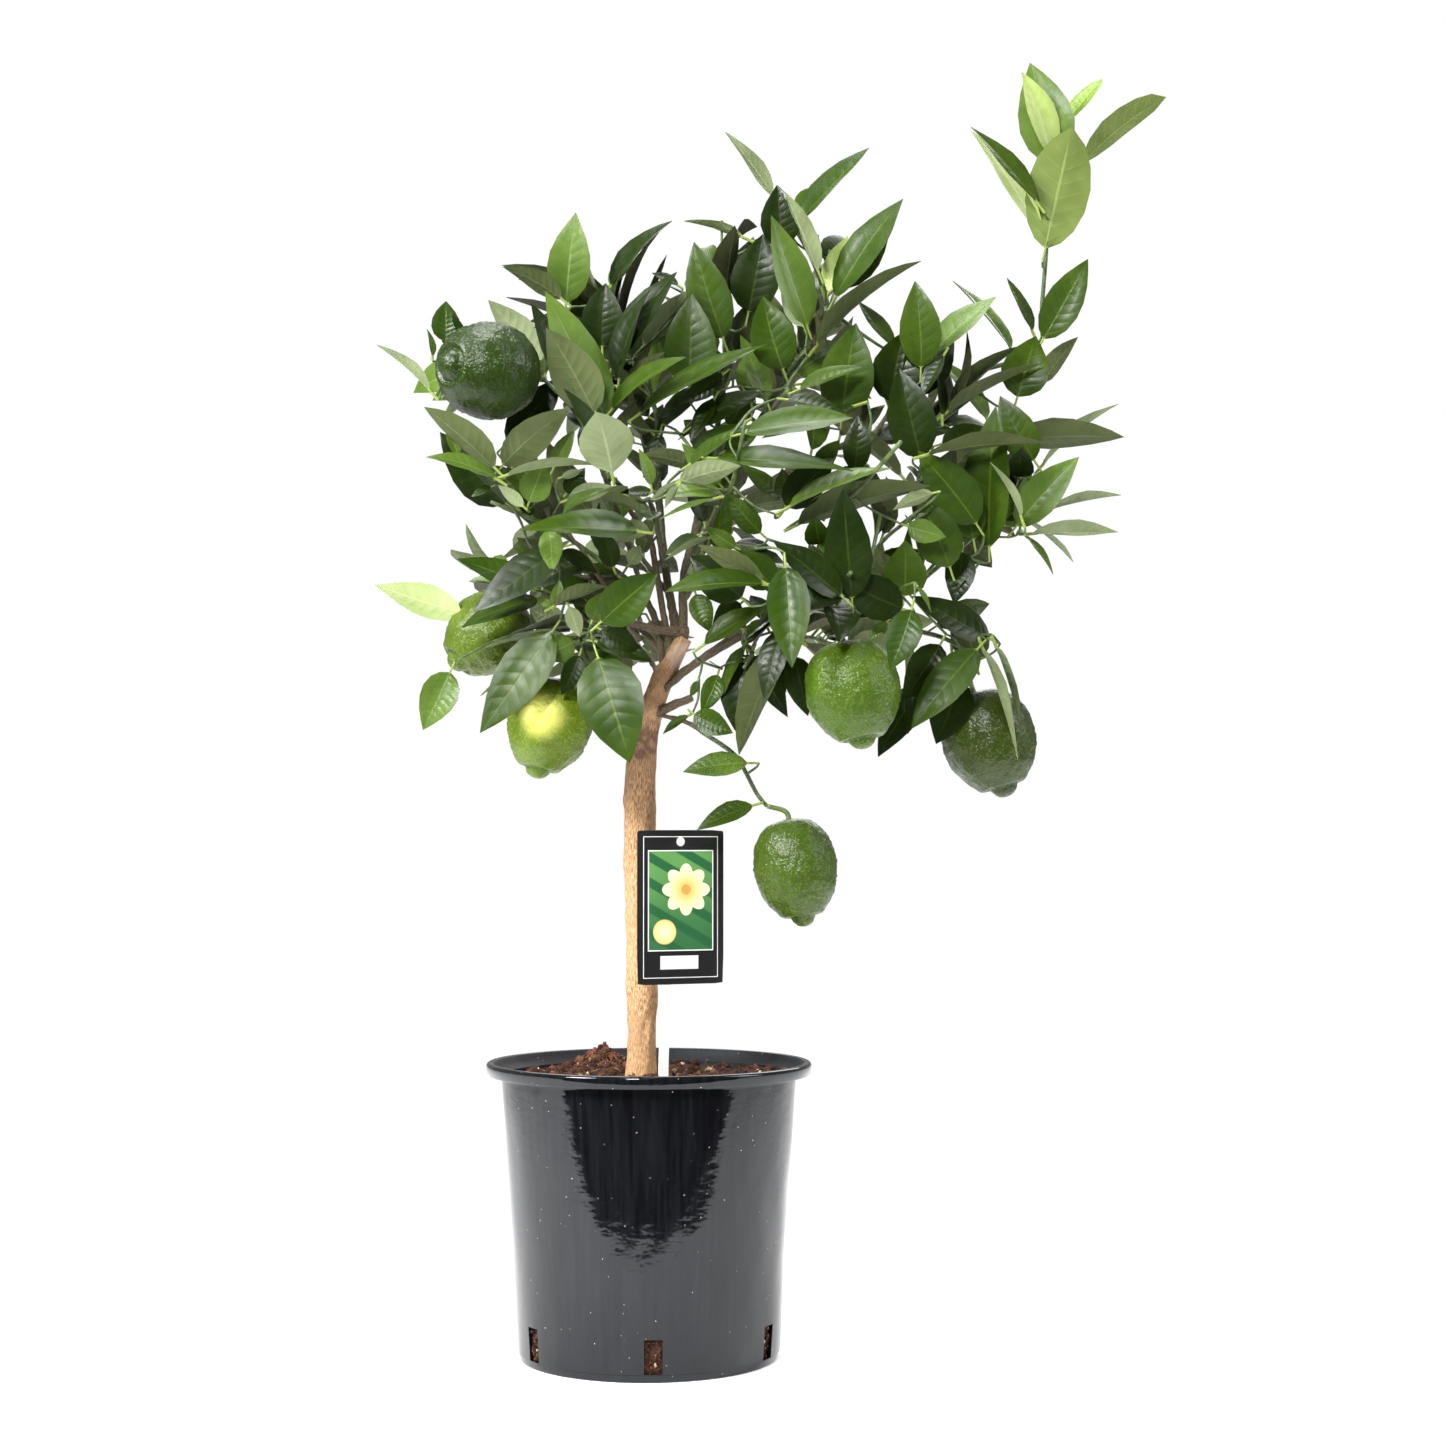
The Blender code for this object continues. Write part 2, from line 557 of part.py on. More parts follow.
def stick_box(name, more, collection, material):
    """The label's stick, or with more the space round it: a thin upright bar behind the card."""
    tall = STICK["top"] - (SOIL["level"] - STICK["depth"])
    bpy.ops.mesh.primitive_cube_add(size=1.0)
    stick = bpy.context.object
    stick.name = name
    size = (STICK["width"] + 2 * more, STICK["thickness"] + 2 * more, tall + 2 * more)
    for vertex in stick.data.vertices:
        vertex.co = Vector((vertex.co.x * size[0], vertex.co.y * size[1], vertex.co.z * size[2]))
    yaw = math.radians(LABEL["yaw"])
    behind = LABEL["thickness"] / 2 + GAP + STICK["thickness"] / 2
    along = STICK["shift"]
    stick.location = (
        LABEL["centre"][0] + along * math.cos(yaw) - behind * math.sin(yaw),
        LABEL["centre"][1] + along * math.sin(yaw) + behind * math.cos(yaw),
        STICK["top"] - tall / 2,
    )
    stick.rotation_euler = (0.0, math.radians(STICK["lean"]), yaw)
    for held in list(stick.users_collection):
        held.objects.unlink(stick)
    collection.objects.link(stick)
    if material:
        stick.data.materials.append(material)
    return stick


def rounded_outline():
    """Corner arcs of the card, anticlockwise."""
    half_x, half_y, r = LABEL["width"] / 2, LABEL["height"] / 2, LABEL["corner"]
    points = []
    for k, (sx, sy) in enumerate(((1, 1), (-1, 1), (-1, -1), (1, -1))):
        for step in range(4):
            a = math.radians(90 * k + 30 * step)
            points.append((sx * (half_x - r) + r * math.cos(a), sy * (half_y - r) + r * math.sin(a)))
    return points


def build_label(parts):
    """The card as a flat outline with a punched hole, and the stick behind it."""
    curve = bpy.data.curves.new("label_card", "CURVE")
    curve.dimensions = "2D"
    curve.fill_mode = "BOTH"
    curve.extrude = LABEL["thickness"] / 2
    hole_y = LABEL["height"] / 2 - LABEL["hole_down"]
    turns = [2 * math.pi * k / 12 for k in range(12)]
    hole = [(LABEL["hole_radius"] * math.cos(a), hole_y + LABEL["hole_radius"] * math.sin(a)) for a in turns]
    for outline in (rounded_outline(), hole):
        spline = curve.splines.new("POLY")
        spline.points.add(len(outline) - 1)
        for place, (x, y) in zip(spline.points, outline):
            place.co = (x, y, 0.0, 1.0)
        spline.use_cyclic_u = True
    curve.materials.append(new_material("label_print", (0.012, 0.012, 0.012), 0.35))
    card = bpy.data.objects.new("label_card", curve)
    card.location = LABEL["centre"]
    card.rotation_euler = (math.radians(90), 0.0, math.radians(LABEL["yaw"]))
    parts.objects.link(card)
    stick_box("label_stick", 0.0, parts, new_material("label_white", (0.85, 0.85, 0.83), 0.4))


def build_limbs(parts, cutters):
    """Trunk and boughs. Each bough starts inside the limb it leaves and is cut 0.3 mm clear of it."""
    bark = new_material("trunk_bark", (0.42, 0.29, 0.16), 0.85)
    young = new_material("bough_bark", (0.20, 0.17, 0.07), 0.7)
    paths = {"trunk": smooth_path(TRUNK["path"], TRUNK["rings"])}
    radii = {"trunk": smooth_radii(TRUNK["radii"], TRUNK["rings"])}
    for name, (parent, share, via, tip, r_start, r_tip, wood) in BOUGHS.items():
        start, _ = point_at(paths[parent], share)
        paths[name] = smooth_path((start, via, tip), BOUGH_POINTS)
        radii[name] = np.linspace(r_start, r_tip, wood)
    spaces = {}
    for name, line in paths.items():
        path = line[:len(radii[name])]
        bevel = (TRUNK["sides"] - 4) // 2 if name == "trunk" else BOUGH_BEVEL
        node = name if name == "trunk" else "bough_" + name
        wood = limb(node, path, radii[name], bevel, parts, bark if name == "trunk" else young)
        wider = path.copy()
        wider[-1] += GAP * unit(path[-1] - path[-2])
        space = as_cutter(limb("space_of_" + node, wider, radii[name] + GAP, bevel, cutters))
        shape = tree_of(wood)
        for cutter, cutter_tree in spaces.values():
            if shape.overlap(cutter_tree):
                cut(wood, cutter)
        apply_modifiers(wood)
        keep_main_body(wood)
        spaces[name] = (space, tree_of(space))
    return paths, [tree for _, tree in spaces.values()]


def tube(path, radii, sides=3):
    """A closed tube of a few sides along a path, its frame carried from ring to ring."""
    path = np.asarray(path)
    along = np.gradient(path, axis=0)
    side = unit(np.cross(along[0], ASIDE))
    points = []
    for centre, forward, radius in zip(path, along, radii):
        forward = unit(forward)
        side = unit(side - forward * np.dot(side, forward))
        across = np.cross(forward, side)
        for k in range(sides):
            a = 2 * math.pi * k / sides
            points.append(centre + radius * (math.cos(a) * side + math.sin(a) * across))
    faces = [tuple(range(sides))[::-1], tuple(range(len(points) - sides, len(points)))]
    for ring in range(len(path) - 1):
        for k in range(sides):
            low, high = ring * sides + k, ring * sides + (k + 1) % sides
            faces.append((low, high, high + sides, low + sides))
    return points, faces


def leaf_shape(base, tip, normal, more=0.0):
    """A folded, arched blade of ten triangles: a root edge, the widest place and its midrib, and a point."""
    length = np.linalg.norm(tip - base)
    along = (tip - base) / length
    normal = unit(normal - along * np.dot(normal, along))
    across = np.cross(normal, along)
    half_width = LEAF["width"] / 2 * length + more
    half_thick = LEAF["thickness"] / 2 + more
    half_root = LEAF["root_thickness"] / 2 + more
    middle = base + along * (LEAF["widest"] * length) + normal * (LEAF["arch"] * length)
    sunk = base - along * LEAF["root"]
    raised = normal * (LEAF["fold"] * half_width)
    points = [
        sunk + normal * half_root,
        sunk - normal * half_root,
        middle - across * half_width + raised,
        middle + normal * half_thick,
        middle - normal * half_thick,
        middle + across * half_width + raised,
        tip + along * more,
    ]
    upper = [(2, 3, 0), (3, 5, 0), (6, 3, 2), (6, 5, 3)]
    lower = [(4, 2, 1), (5, 4, 1), (4, 6, 2), (5, 6, 4)]
    return points, upper + lower + [(1, 2, 0), (5, 1, 0)]


def lemon_shape(centre, axis, width, length):
    """A sphere drawn out along its axis, with a blunt nipple at the far end."""
    axis = unit(np.array(axis))
    side = unit(np.cross(axis, ASIDE))
    across = np.cross(axis, side)
    half, radius = length / 2, width / 2
    shape = bmesh.new()
    bmesh.ops.create_uvsphere(shape, u_segments=LEMON["sides"], v_segments=LEMON["rings"], radius=1.0)
    for vertex in shape.verts:
        z = vertex.co.z
        flat = math.sqrt(max(1.0 - z * z, 0.0))
        spread = flat ** LEMON["shoulder"] / max(flat, 1e-6)
        height = z * (1.0 - LEMON["tip_share"])
        nipple = max((z - LEMON["neck"]) / (1.0 - LEMON["neck"]), 0.0)
        height += LEMON["tip_share"] * nipple
        spread *= 1.0 - (1.0 - LEMON["tip_width"]) * nipple
        place = np.array(centre) + axis * (height * half)
        place = place + radius * spread * (vertex.co.x * side + vertex.co.y * across)
        vertex.co = Vector(place)
    points = [np.array(vertex.co) for vertex in shape.verts]
    faces = [tuple(vertex.index for vertex in face.verts) for face in shape.faces]
    shape.free()
    return points, faces


def bvh(shape):
    points, faces = shape
    return BVHTree.FromPolygons([tuple(p) for p in points], [list(f) for f in faces])


def touches(shape, others):
    tree = bvh(shape)
    return any(tree.overlap(other) for other in others)


def mass_stem(plan, paths):
    """From just past the bough's end, on along the bough's line, to the heart of the mass's space."""
    line, wood = paths[plan["bough"]], BOUGHS[plan["bough"]][-1]
    forward = unit(line[wood - 1] - line[wood - 2])
    start = line[wood - 1] + forward * GAP
    bend = start + forward * STEM["straight"]
    return np.vstack((start, smooth_path((bend, line[-1], np.array(plan["heart"])), STEM["points"])))


def wanted_tips(plan, stem, rng):
    """The named tips, then seeded ones spread over the mass's space, away from where its stem comes in."""
    heart, reach = np.array(plan["heart"]), np.array(plan["reach"])
    forward = unit(stem[-1] - stem[0])
    tips = [np.array(tip) for tip in plan["tips"]]
    phase = rng.uniform(0.0, 2 * math.pi)
    for k in range(plan["shoots"]):
        height = 1.0 - 2.0 * (k + 0.5) / plan["shoots"]
        turn = phase + k * GOLDEN_ANGLE
        flat = math.sqrt(1.0 - height * height)
        out = np.array((flat * math.cos(turn), flat * math.sin(turn), height))
        if np.dot(out, forward) < SPREAD["behind"]:
            out = out - 2 * np.dot(out, forward) * forward
        tips.append(heart + reach * out * rng.uniform(SPREAD["near"], SPREAD["far"]))
    return tips


def shoot_to(tip, stem, leaf_length, slip):
    """A shoot from the stem that ends one leaf short of the tip. A tip that near the stem needs no shoot."""
    places = [point_at(stem, share) for share in np.linspace(*SHOOT["from"], SHOOT["places"]) - slip]
    ahead = [at for at, forward in places if np.dot(unit(tip - at), forward) > SHOOT["ahead"]]
    ahead = ahead or [at for at, _ in places]
    near = min(ahead, key=lambda at: abs(np.linalg.norm(tip - at) - leaf_length))
    if abs(np.linalg.norm(tip - near) - leaf_length) < LEAF["stretch"] * leaf_length:
        return near[None, :]
    start = ahead[-1]
    distance = np.linalg.norm(tip - start)
    end = start + (tip - start) * max(1.0 - leaf_length / distance, SHOOT["shortest"])
    via = (start + end) / 2 - UP * SHOOT["sag"] * np.linalg.norm(end - start)
    return smooth_path((start, via, end), SHOOT["rings"])


def leaf_seats(shoot, leaf_length, rng):
    """Where each side leaf leaves the shoot: from the end backwards, each a golden angle further round."""
    length = np.linalg.norm(np.diff(shoot, axis=0), axis=1).sum()
    phase = rng.uniform(0.0, 2 * math.pi)
    opening, wider, until = LEAF["opening"]
    seats = []
    for k in range(round(length / LEAF["spacing"])):
        share = 1.0 - (LEAF["first"] + k) * LEAF["spacing"] / length
        size = leaf_length * rng.uniform(*LEAF["sizes"]) * (1.0 - LEAF["smaller"] * k)
        roll = rng.uniform(-LEAF["roll"], LEAF["roll"])
        if share > LEAF["last"]:
            angle = math.radians(opening + wider * min(k, until))
            seats.append((share, phase + k * GOLDEN_ANGLE, angle, size, roll))
    return seats


def side_leaf(plan, shoot, seat, turn):
    """Root, tip and upper side of a leaf that stands off its shoot."""
    share, angle, opening, size, roll = seat
    base, forward = point_at(shoot, share)
    side = unit(np.cross(forward, ASIDE))
    across = np.cross(forward, side)
    out = math.cos(angle + turn) * side + math.sin(angle + turn) * across
    along = unit(math.cos(opening) * forward + math.sin(opening) * out + LEAF["lift"] * UP)
    return base, base + along * size, upper_side(plan, along, base, roll)


def upper_side(plan, along, base, roll):
    """A leaf's upper side looks up and out of the crown, or the way its mass faces, turned by its roll."""
    out = (base - np.array(CROWN["axis"])) * (1.0, 1.0, 0.0)
    faced = plan.get("face", out / max(np.linalg.norm(out), CROWN["core"]))
    normal = CROWN["up"] * UP + np.array(faced)
    normal = unit(normal - along * np.dot(normal, along))
    return normal * math.cos(roll) + np.cross(along, normal) * math.sin(roll)


def within(plan, point):
    away = (point - np.array(plan["heart"])) / np.array(plan["reach"])
    return np.dot(away, away) < ROOM**2


def fruit_stalk(centre, axis, length, stem):
    """From the nearest place on the stem round to the fruit's stem end, and on into the fruit."""
    axis = unit(np.array(axis))
    top = np.array(centre) - axis * length / 2 * (1.0 - LEMON["tip_share"])
    start = min(stem[1:], key=lambda place: np.linalg.norm(place - top))
    via = top - axis * STALK["bend"] * np.linalg.norm(top - start)
    return smooth_path((start, via, top + axis * STALK["sunk"]), STALK["points"])


def grow_shoots(plan, stem, rng, taken):
    """The mass's shoots, each with its last leaf's tip and its seats, without any that touch something."""
    stem_seats = leaf_seats(stem[1:], plan["leaf"], rng)
    shoots = [(stem, None, [] if plan.get("bare_stem") else stem_seats)]
    for tip in wanted_tips(plan, stem, rng):
        last_leaf = plan["leaf"] * rng.uniform(*SHOOT["leaf"])
        shoot = shoot_to(tip, stem, last_leaf, rng.uniform(0.0, SHOOT["slip"]))
        if len(shoot) == 1:
            shoots.append((shoot, tip, []))
            continue
        seats = leaf_seats(shoot, plan["leaf"], rng)
        twig = tube(shoot, smooth_radii(SHOOT["radii"], len(shoot)) + GAP)
        if not touches(twig, taken):
            shoots.append((shoot, tip, seats))
    return shoots


def grow_leaves(plan, shoots, hard, blades):
    """Leaves of one mass. One that leaves its space or touches anything is turned round or left out."""
    wanted = []
    for shoot, tip, _ in shoots[1:]:
        face = upper_side(plan, unit(tip - shoot[-1]), shoot[-1], 0.0)
        wanted.append([(shoot[-1], tip, face)])
    for shoot, _, seats in shoots:
        for seat in seats:
            choices = [side_leaf(plan, shoot, seat, turn) for turn in TURNS]
            wanted.append([choice for choice in choices if within(plan, choice[1])])
    leaves = []
    for choices in wanted:
        for base, tip, normal in choices:
            whole = leaf_shape(base, tip, normal, more=GAP)
            off_root = base + (tip - base) * LEAF["clear_from"]
            off = bvh(leaf_shape(off_root, tip, normal, more=GAP))
            if not touches(whole, hard) and not any(off.overlap(blade) for blade in blades):
                blades.append(off)
                leaves.append(leaf_shape(base, tip, normal))
                break
    return leaves


def fuse(name, shapes, parts, material):
    """One Boolean union on a collection joins the stem to its shoots, leaves and fruit."""
    points, faces = shapes[0]
    mass = mesh_object(name, points, faces, parts, material)
    loose = new_collection(name + "_loose")
    for k, (points, faces) in enumerate(shapes[1:]):
        mesh_object(f"{name}_{k}", points, faces, loose)
    union = mass.modifiers.new("fuse", "BOOLEAN")
    union.operation = "UNION"
    union.operand_type = "COLLECTION"
    union.collection = loose
    union.solver = "MANIFOLD"
    apply_modifiers(mass)
    keep_main_body(mass)
    for obj in list(loose.objects):
        bpy.data.objects.remove(obj, do_unlink=True)
    bpy.data.collections.remove(loose)
    return mass


def build_masses(parts, paths, limb_trees):
    """Stems, stalks and fruit of every mass come first, then all shoots, and leaves last."""
    stems = {name: mass_stem(plan, paths) for name, plan in MASSES.items()}
    twigs = {name: [tube(stem, smooth_radii(STEM["radii"], len(stem)))] for name, stem in stems.items()}
    fruits = {}
    for name, (centre, axis, width, length) in LEMONS.items():
        stalk = fruit_stalk(centre, axis, length, stems[name])
        twigs[name].append(tube(stalk, [STALK["radius"]] * len(stalk)))
        fruits[name] = lemon_shape(centre, axis, width, length)
    solid = list(limb_trees) + [bvh(shape) for shape in fruits.values()]
    wood = {name: [bvh(shape) for shape in shapes] for name, shapes in twigs.items()}
    shoots = {}
    for name, plan in MASSES.items():
        others = [tree for other, trees in wood.items() if other != name for tree in trees]
        rng = np.random.default_rng(plan["seed"])
        shoots[name] = grow_shoots(plan, stems[name], rng, solid + others)
        for shoot in [shoot for shoot, _, _ in shoots[name][1:] if len(shoot) > 1]:
            twigs[name].append(tube(shoot, smooth_radii(SHOOT["radii"], len(shoot))))
            wood[name].append(bvh(twigs[name][-1]))
    green = new_material("leaf_green", (0.035, 0.11, 0.018), 0.4)
    blades = []
    for name, plan in MASSES.items():
        others = [tree for other, trees in wood.items() if other != name for tree in trees]
        leaves = grow_leaves(plan, shoots[name], solid + others, blades)
        fruit = [fruits[name]] if name in fruits else []
        fuse("leaves_" + name, twigs[name] + fruit + leaves, parts, green)
        print(name, len(shoots[name]), "shoots", len(leaves), "leaves")
    print(len(blades), "leaves in all")


def main():
    clear_scene()
    parts = new_collection(OBJECT_NAME)
    cutters = new_collection("cutters")
    build_pot(parts, cutters)
    build_soil(parts, cutters)
    build_label(parts)
    paths, limb_trees = build_limbs(parts, cutters)
    build_masses(parts, paths, limb_trees)


main()
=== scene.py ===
import math
import bpy
import numpy as np
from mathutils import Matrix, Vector
from mathutils.bvhtree import BVHTree


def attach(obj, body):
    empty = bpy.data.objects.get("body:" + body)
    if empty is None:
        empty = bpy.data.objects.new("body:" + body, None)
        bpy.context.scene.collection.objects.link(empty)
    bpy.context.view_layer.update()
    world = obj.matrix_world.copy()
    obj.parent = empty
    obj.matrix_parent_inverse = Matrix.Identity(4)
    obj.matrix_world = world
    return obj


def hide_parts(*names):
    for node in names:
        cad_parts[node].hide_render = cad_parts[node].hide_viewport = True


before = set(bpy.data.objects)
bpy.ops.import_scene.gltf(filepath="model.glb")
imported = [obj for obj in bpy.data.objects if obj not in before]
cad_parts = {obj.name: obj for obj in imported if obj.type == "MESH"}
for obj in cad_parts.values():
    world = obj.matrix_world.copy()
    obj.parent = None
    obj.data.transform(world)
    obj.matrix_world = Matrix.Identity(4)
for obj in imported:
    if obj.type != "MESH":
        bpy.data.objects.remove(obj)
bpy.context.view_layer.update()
print("frame loaded:", len(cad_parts), "nodes")

up = np.array((0.0, 0.0, 1.0))
aside = np.array((0.31, 0.95, 0.05))  # no limb runs along it, so it gives each limb its first side
goldenAngle = math.pi * (3.0 - math.sqrt(5.0))


# small tools

def unit(v):
    v = np.asarray(v, float)
    return v / np.maximum(np.linalg.norm(v, axis=-1, keepdims=True), 1e-12)


def square(v, along):
    # the part of a direction that stands square to a unit one
    return unit(v - along * (v * along).sum(-1, keepdims=True))


def turnsOf(count):
    return np.arange(count) * 2 * math.pi / count


def circle(a):
    return np.stack((np.cos(a), np.sin(a)), -1)


def smoothPath(points, count):
    # Catmull-Rom curve through the points, read at count even steps
    knots = np.array(points, float)
    knots = np.vstack((2 * knots[0] - knots[1], knots, 2 * knots[-1] - knots[-2]))
    at = np.linspace(0.0, len(points) - 1.0, count)
    span = np.minimum(at.astype(int), len(points) - 2)
    t = (at - span)[:, None]
    a, b, c, d = (knots[span + k] for k in range(4))
    squared, cubed = (2 * a - 5 * b + 4 * c - d) * t**2, (3 * b - a - 3 * c + d) * t**3
    return 0.5 * (2 * b + (c - a) * t + squared + cubed)


def pointAt(path, share):
    # the place at a share of the path's steps, and the way the path runs there
    at = share * (len(path) - 1)
    k = min(int(at), len(path) - 2)
    return path[k] + (at - k) * (path[k + 1] - path[k]), unit(path[k + 1] - path[k])


def spread(values, count):
    # the values read at count even steps from first to last
    return np.interp(np.linspace(0.0, 1.0, count), np.linspace(0.0, 1.0, len(values)), values)


def ripple(points, seed, waveLength, terms=12):
    # a sum of sines that run in random directions, so it is smooth and never repeats: about -1 to 1
    rng = np.random.default_rng(seed)
    runs = unit(rng.normal(size=(terms, 3))) * 2 * math.pi / (waveLength * rng.uniform(0.6, 1.6, (terms, 1)))
    return np.sin(points @ runs.T + rng.uniform(0, 2 * math.pi, terms)).sum(-1) / math.sqrt(terms)


def added(name, data):
    made = bpy.data.objects.new(name, data)
    bpy.context.scene.collection.objects.link(made)
    return made


def newPiece(name, points, faceSets, materials, uvSets=None, kinds=None, numbers=None, smooth=True):
    # points (n, 3); each face set (m, k) holds faces of one size, with its corners' uv (m, k, 2) and its kinds (m,)
    mesh = bpy.data.meshes.new(name)
    mesh.vertices.add(len(points))
    mesh.vertices.foreach_set("co", np.ascontiguousarray(points, np.float32).ravel())
    corners = np.concatenate([np.asarray(f).ravel() for f in faceSets]).astype(np.int32)
    sizes = np.concatenate([np.full(len(f), np.asarray(f).shape[1]) for f in faceSets])
    mesh.loops.add(len(corners))
    mesh.loops.foreach_set("vertex_index", corners)
    mesh.polygons.add(len(sizes))
    mesh.polygons.foreach_set("loop_start", np.concatenate(([0], np.cumsum(sizes)[:-1])).astype(np.int32))
    if kinds is not None:
        mesh.polygons.foreach_set("material_index", np.concatenate(kinds).astype(np.int32))
    if uvSets is not None:
        layer = mesh.uv_layers.new(name="surface")
        layer.uv.foreach_set("vector", np.concatenate([u.reshape(-1, 2) for u in uvSets]).astype(np.float32).ravel())
    for label, values in (numbers or {}).items():
        mesh.attributes.new(label, "FLOAT", "POINT").data.foreach_set("value", np.asarray(values, np.float32))
    mesh.update(calc_edges=True)
    if smooth:
        mesh.shade_smooth()
    for material in materials:
        mesh.materials.append(material)
    return added(name, mesh)


def settle(piece, slot, *nodes):
    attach(piece, "root")
    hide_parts(*nodes)


def carried(paths):
    # the frame carried along each path: along, side and across for every ring, side turned as little as it can be
    along = unit(np.gradient(paths, axis=1))
    side = np.empty_like(paths)
    before = unit(np.cross(along[:, 0], aside))
    for k in range(paths.shape[1]):
        before = square(before, along[:, k])
        side[:, k] = before
    return along, side, np.cross(along, side)


def tubeGrid(paths, radii, sides):
    # a circle of the given radius carried along each path: point = path + radius (cos a side + sin a across)
    _, side, across = carried(paths)
    a = turnsOf(sides)
    ring = np.cos(a)[:, None] * side[:, :, None] + np.sin(a)[:, None] * across[:, :, None]
    return paths[:, :, None] + radii[:, :, None, None] * ring


def ringFaces(count, rings, sides, firstPoint=0):
    # quads between neighbouring rings of each of count tubes, and a cap on both ends
    k = np.arange(sides)
    low = np.arange(rings - 1)[:, None] * sides + k
    high = np.arange(rings - 1)[:, None] * sides + (k + 1) % sides
    one = np.stack((low, high, high + sides, low + sides), -1).reshape(-1, 4)
    start = firstPoint + np.arange(count)[:, None, None] * rings * sides
    caps = np.stack((k[::-1], k + (rings - 1) * sides))
    return (start + one).reshape(-1, 4), (start + caps).reshape(-1, sides)


def tubeUvs(paths, radii, sides):
    # metres round the tube and metres along it
    steps = np.linalg.norm(np.diff(paths, axis=1), axis=2)
    far = np.concatenate((np.zeros((len(paths), 1)), np.cumsum(steps, 1)), 1)
    wide = 2 * math.pi * radii[:, :1] / sides
    k = np.arange(sides)
    corner = np.empty((len(paths), paths.shape[1] - 1, sides, 4, 2))
    corner[..., 0] = (wide[:, :, None] * k)[..., None]
    corner[..., 1:3, 0] += wide[:, :, None, None]
    corner[..., 0:2, 1] = far[:, :-1, None, None]
    corner[..., 2:4, 1] = far[:, 1:, None, None]
    return corner.reshape(-1, 4, 2), np.zeros((2 * len(paths), sides, 2))


def joined(groups):
    # the points, faces and uvs of several groups as one piece's arrays
    points, faces, uvs, start = [], [], [], 0
    for group in groups:
        points.append(group["points"].reshape(-1, 3))
        faces += [face + start for face in group["faces"]]
        uvs += group["uvs"]
        start += len(points[-1])
    return np.vstack(points), faces, uvs


def tubes(paths, radii, sides):
    paths, radii = np.asarray(paths, float), np.asarray(radii, float)
    faces, uvs = ringFaces(len(paths), paths.shape[1], sides), tubeUvs(paths, radii, sides)
    return {"points": tubeGrid(paths, radii, sides), "faces": faces, "uvs": uvs}


# materials: a few steps that every finish uses; an input may be a number, a colour or another node's output

class Steps:
    def __init__(self, tree):
        self.tree = tree

    def put(self, value, socket):
        if hasattr(value, "links"):
            self.tree.links.new(value, socket)
        elif value is not None:
            socket.default_value = (*value, 1.0) if socket.type == "RGBA" else value

    def node(self, kind, inputs=(), **values):
        made = self.tree.nodes.new(kind)
        for key, value in values.items():
            setattr(made, key, value)
        for socket, value in dict(inputs).items():
            self.put(value, made.inputs[socket])
        return made

    def place(self, scale=(1, 1, 1), move=(0, 0, 0), where=None):
        where = where or self.node("ShaderNodeTexCoord").outputs["Object"]
        return self.node("ShaderNodeMapping", {"Vector": where, "Scale": scale, "Location": move}).outputs["Vector"]

    def surface(self):
        return self.node("ShaderNodeUVMap", uv_map="surface").outputs["UV"]

    def split(self, vector):
        return self.node("ShaderNodeSeparateXYZ", {0: vector}).outputs

    def number(self, label):
        return self.node("ShaderNodeAttribute", attribute_name=label).outputs["Fac"]

    def noise(self, where, scale, detail=4.0, rough=0.55):
        inputs = {"Vector": where, "Scale": scale, "Detail": detail, "Roughness": rough}
        return self.node("ShaderNodeTexNoise", inputs).outputs["Fac"]

    def cells(self, where, scale):
        return self.node("ShaderNodeTexVoronoi", {"Vector": where, "Scale": scale}).outputs["Distance"]

    def ramp(self, source, *stops):
        made = self.node("ShaderNodeValToRGB", {"Fac": source})
        line = made.color_ramp.elements
        while len(line) < len(stops):
            line.new(0.5)
        for stop, (at, colour) in zip(line, stops):
            stop.position = at
            stop.color = (*colour, 1.0)
        return made.outputs["Color"]

    def grey(self, source, low, high, toLow=0.0, toHigh=1.0):
        inputs = {"Value": source, "From Min": low, "From Max": high, "To Min": toLow, "To Max": toHigh}
        return self.node("ShaderNodeMapRange", inputs, interpolation_type="SMOOTHSTEP").outputs["Result"]

    def math(self, operation, first, second=None):
        return self.node("ShaderNodeMath", {0: first, 1: second}, operation=operation).outputs["Value"]

    def times(self, first, second):
        return self.math("MULTIPLY", first, second)

    def plus(self, first, second):
        return self.math("ADD", first, second)

    def minus(self, first, second):
        return self.math("SUBTRACT", first, second)

    def vector(self, operation, first, second=None):
        return self.node("ShaderNodeVectorMath", {0: first, 1: second}, operation=operation).outputs["Value"]

    def mix(self, share, first, second):
        return self.node("ShaderNodeMix", {0: share, 6: first, 7: second}, data_type="RGBA").outputs[2]


class Finish(Steps):
    def __init__(self, name, roughness=0.5, specular=0.5, **sockets):
        self.material = bpy.data.materials.new(name)
        self.material.use_nodes = True
        super().__init__(self.material.node_tree)
        self.shader = self.tree.nodes["Principled BSDF"]
        self.shader.inputs["Roughness"].default_value = roughness
        self.shader.inputs["Specular IOR Level"].default_value = specular
        for socket, value in sockets.items():
            self.put(value, self.shader.inputs[socket.replace("_", " ")])

    def colour(self, value):
        self.put(value, self.shader.inputs["Base Color"])

    def rough(self, value):
        self.put(value, self.shader.inputs["Roughness"])

    def bump(self, height, distance, strength=1.0):
        normal = self.shader.inputs["Normal"]
        before = normal.links[0].from_socket if normal.links else None
        inputs = {"Height": height, "Distance": distance, "Strength": strength, "Normal": before}
        self.put(self.node("ShaderNodeBump", inputs).outputs["Normal"], normal)


# camera at the photograph's place; the photograph's frame is square, and its width is given in pixels

cameraView = {"place": (0.0514, -1.799, 0.368), "lens": 63.64, "pitch": 2.36, "sensor": 36.0, "frame": 1445.0}
eye, pitch = np.array(cameraView["place"]), math.radians(cameraView["pitch"])
focal, frameMiddle = cameraView["frame"] * cameraView["lens"] / cameraView["sensor"], cameraView["frame"] / 2


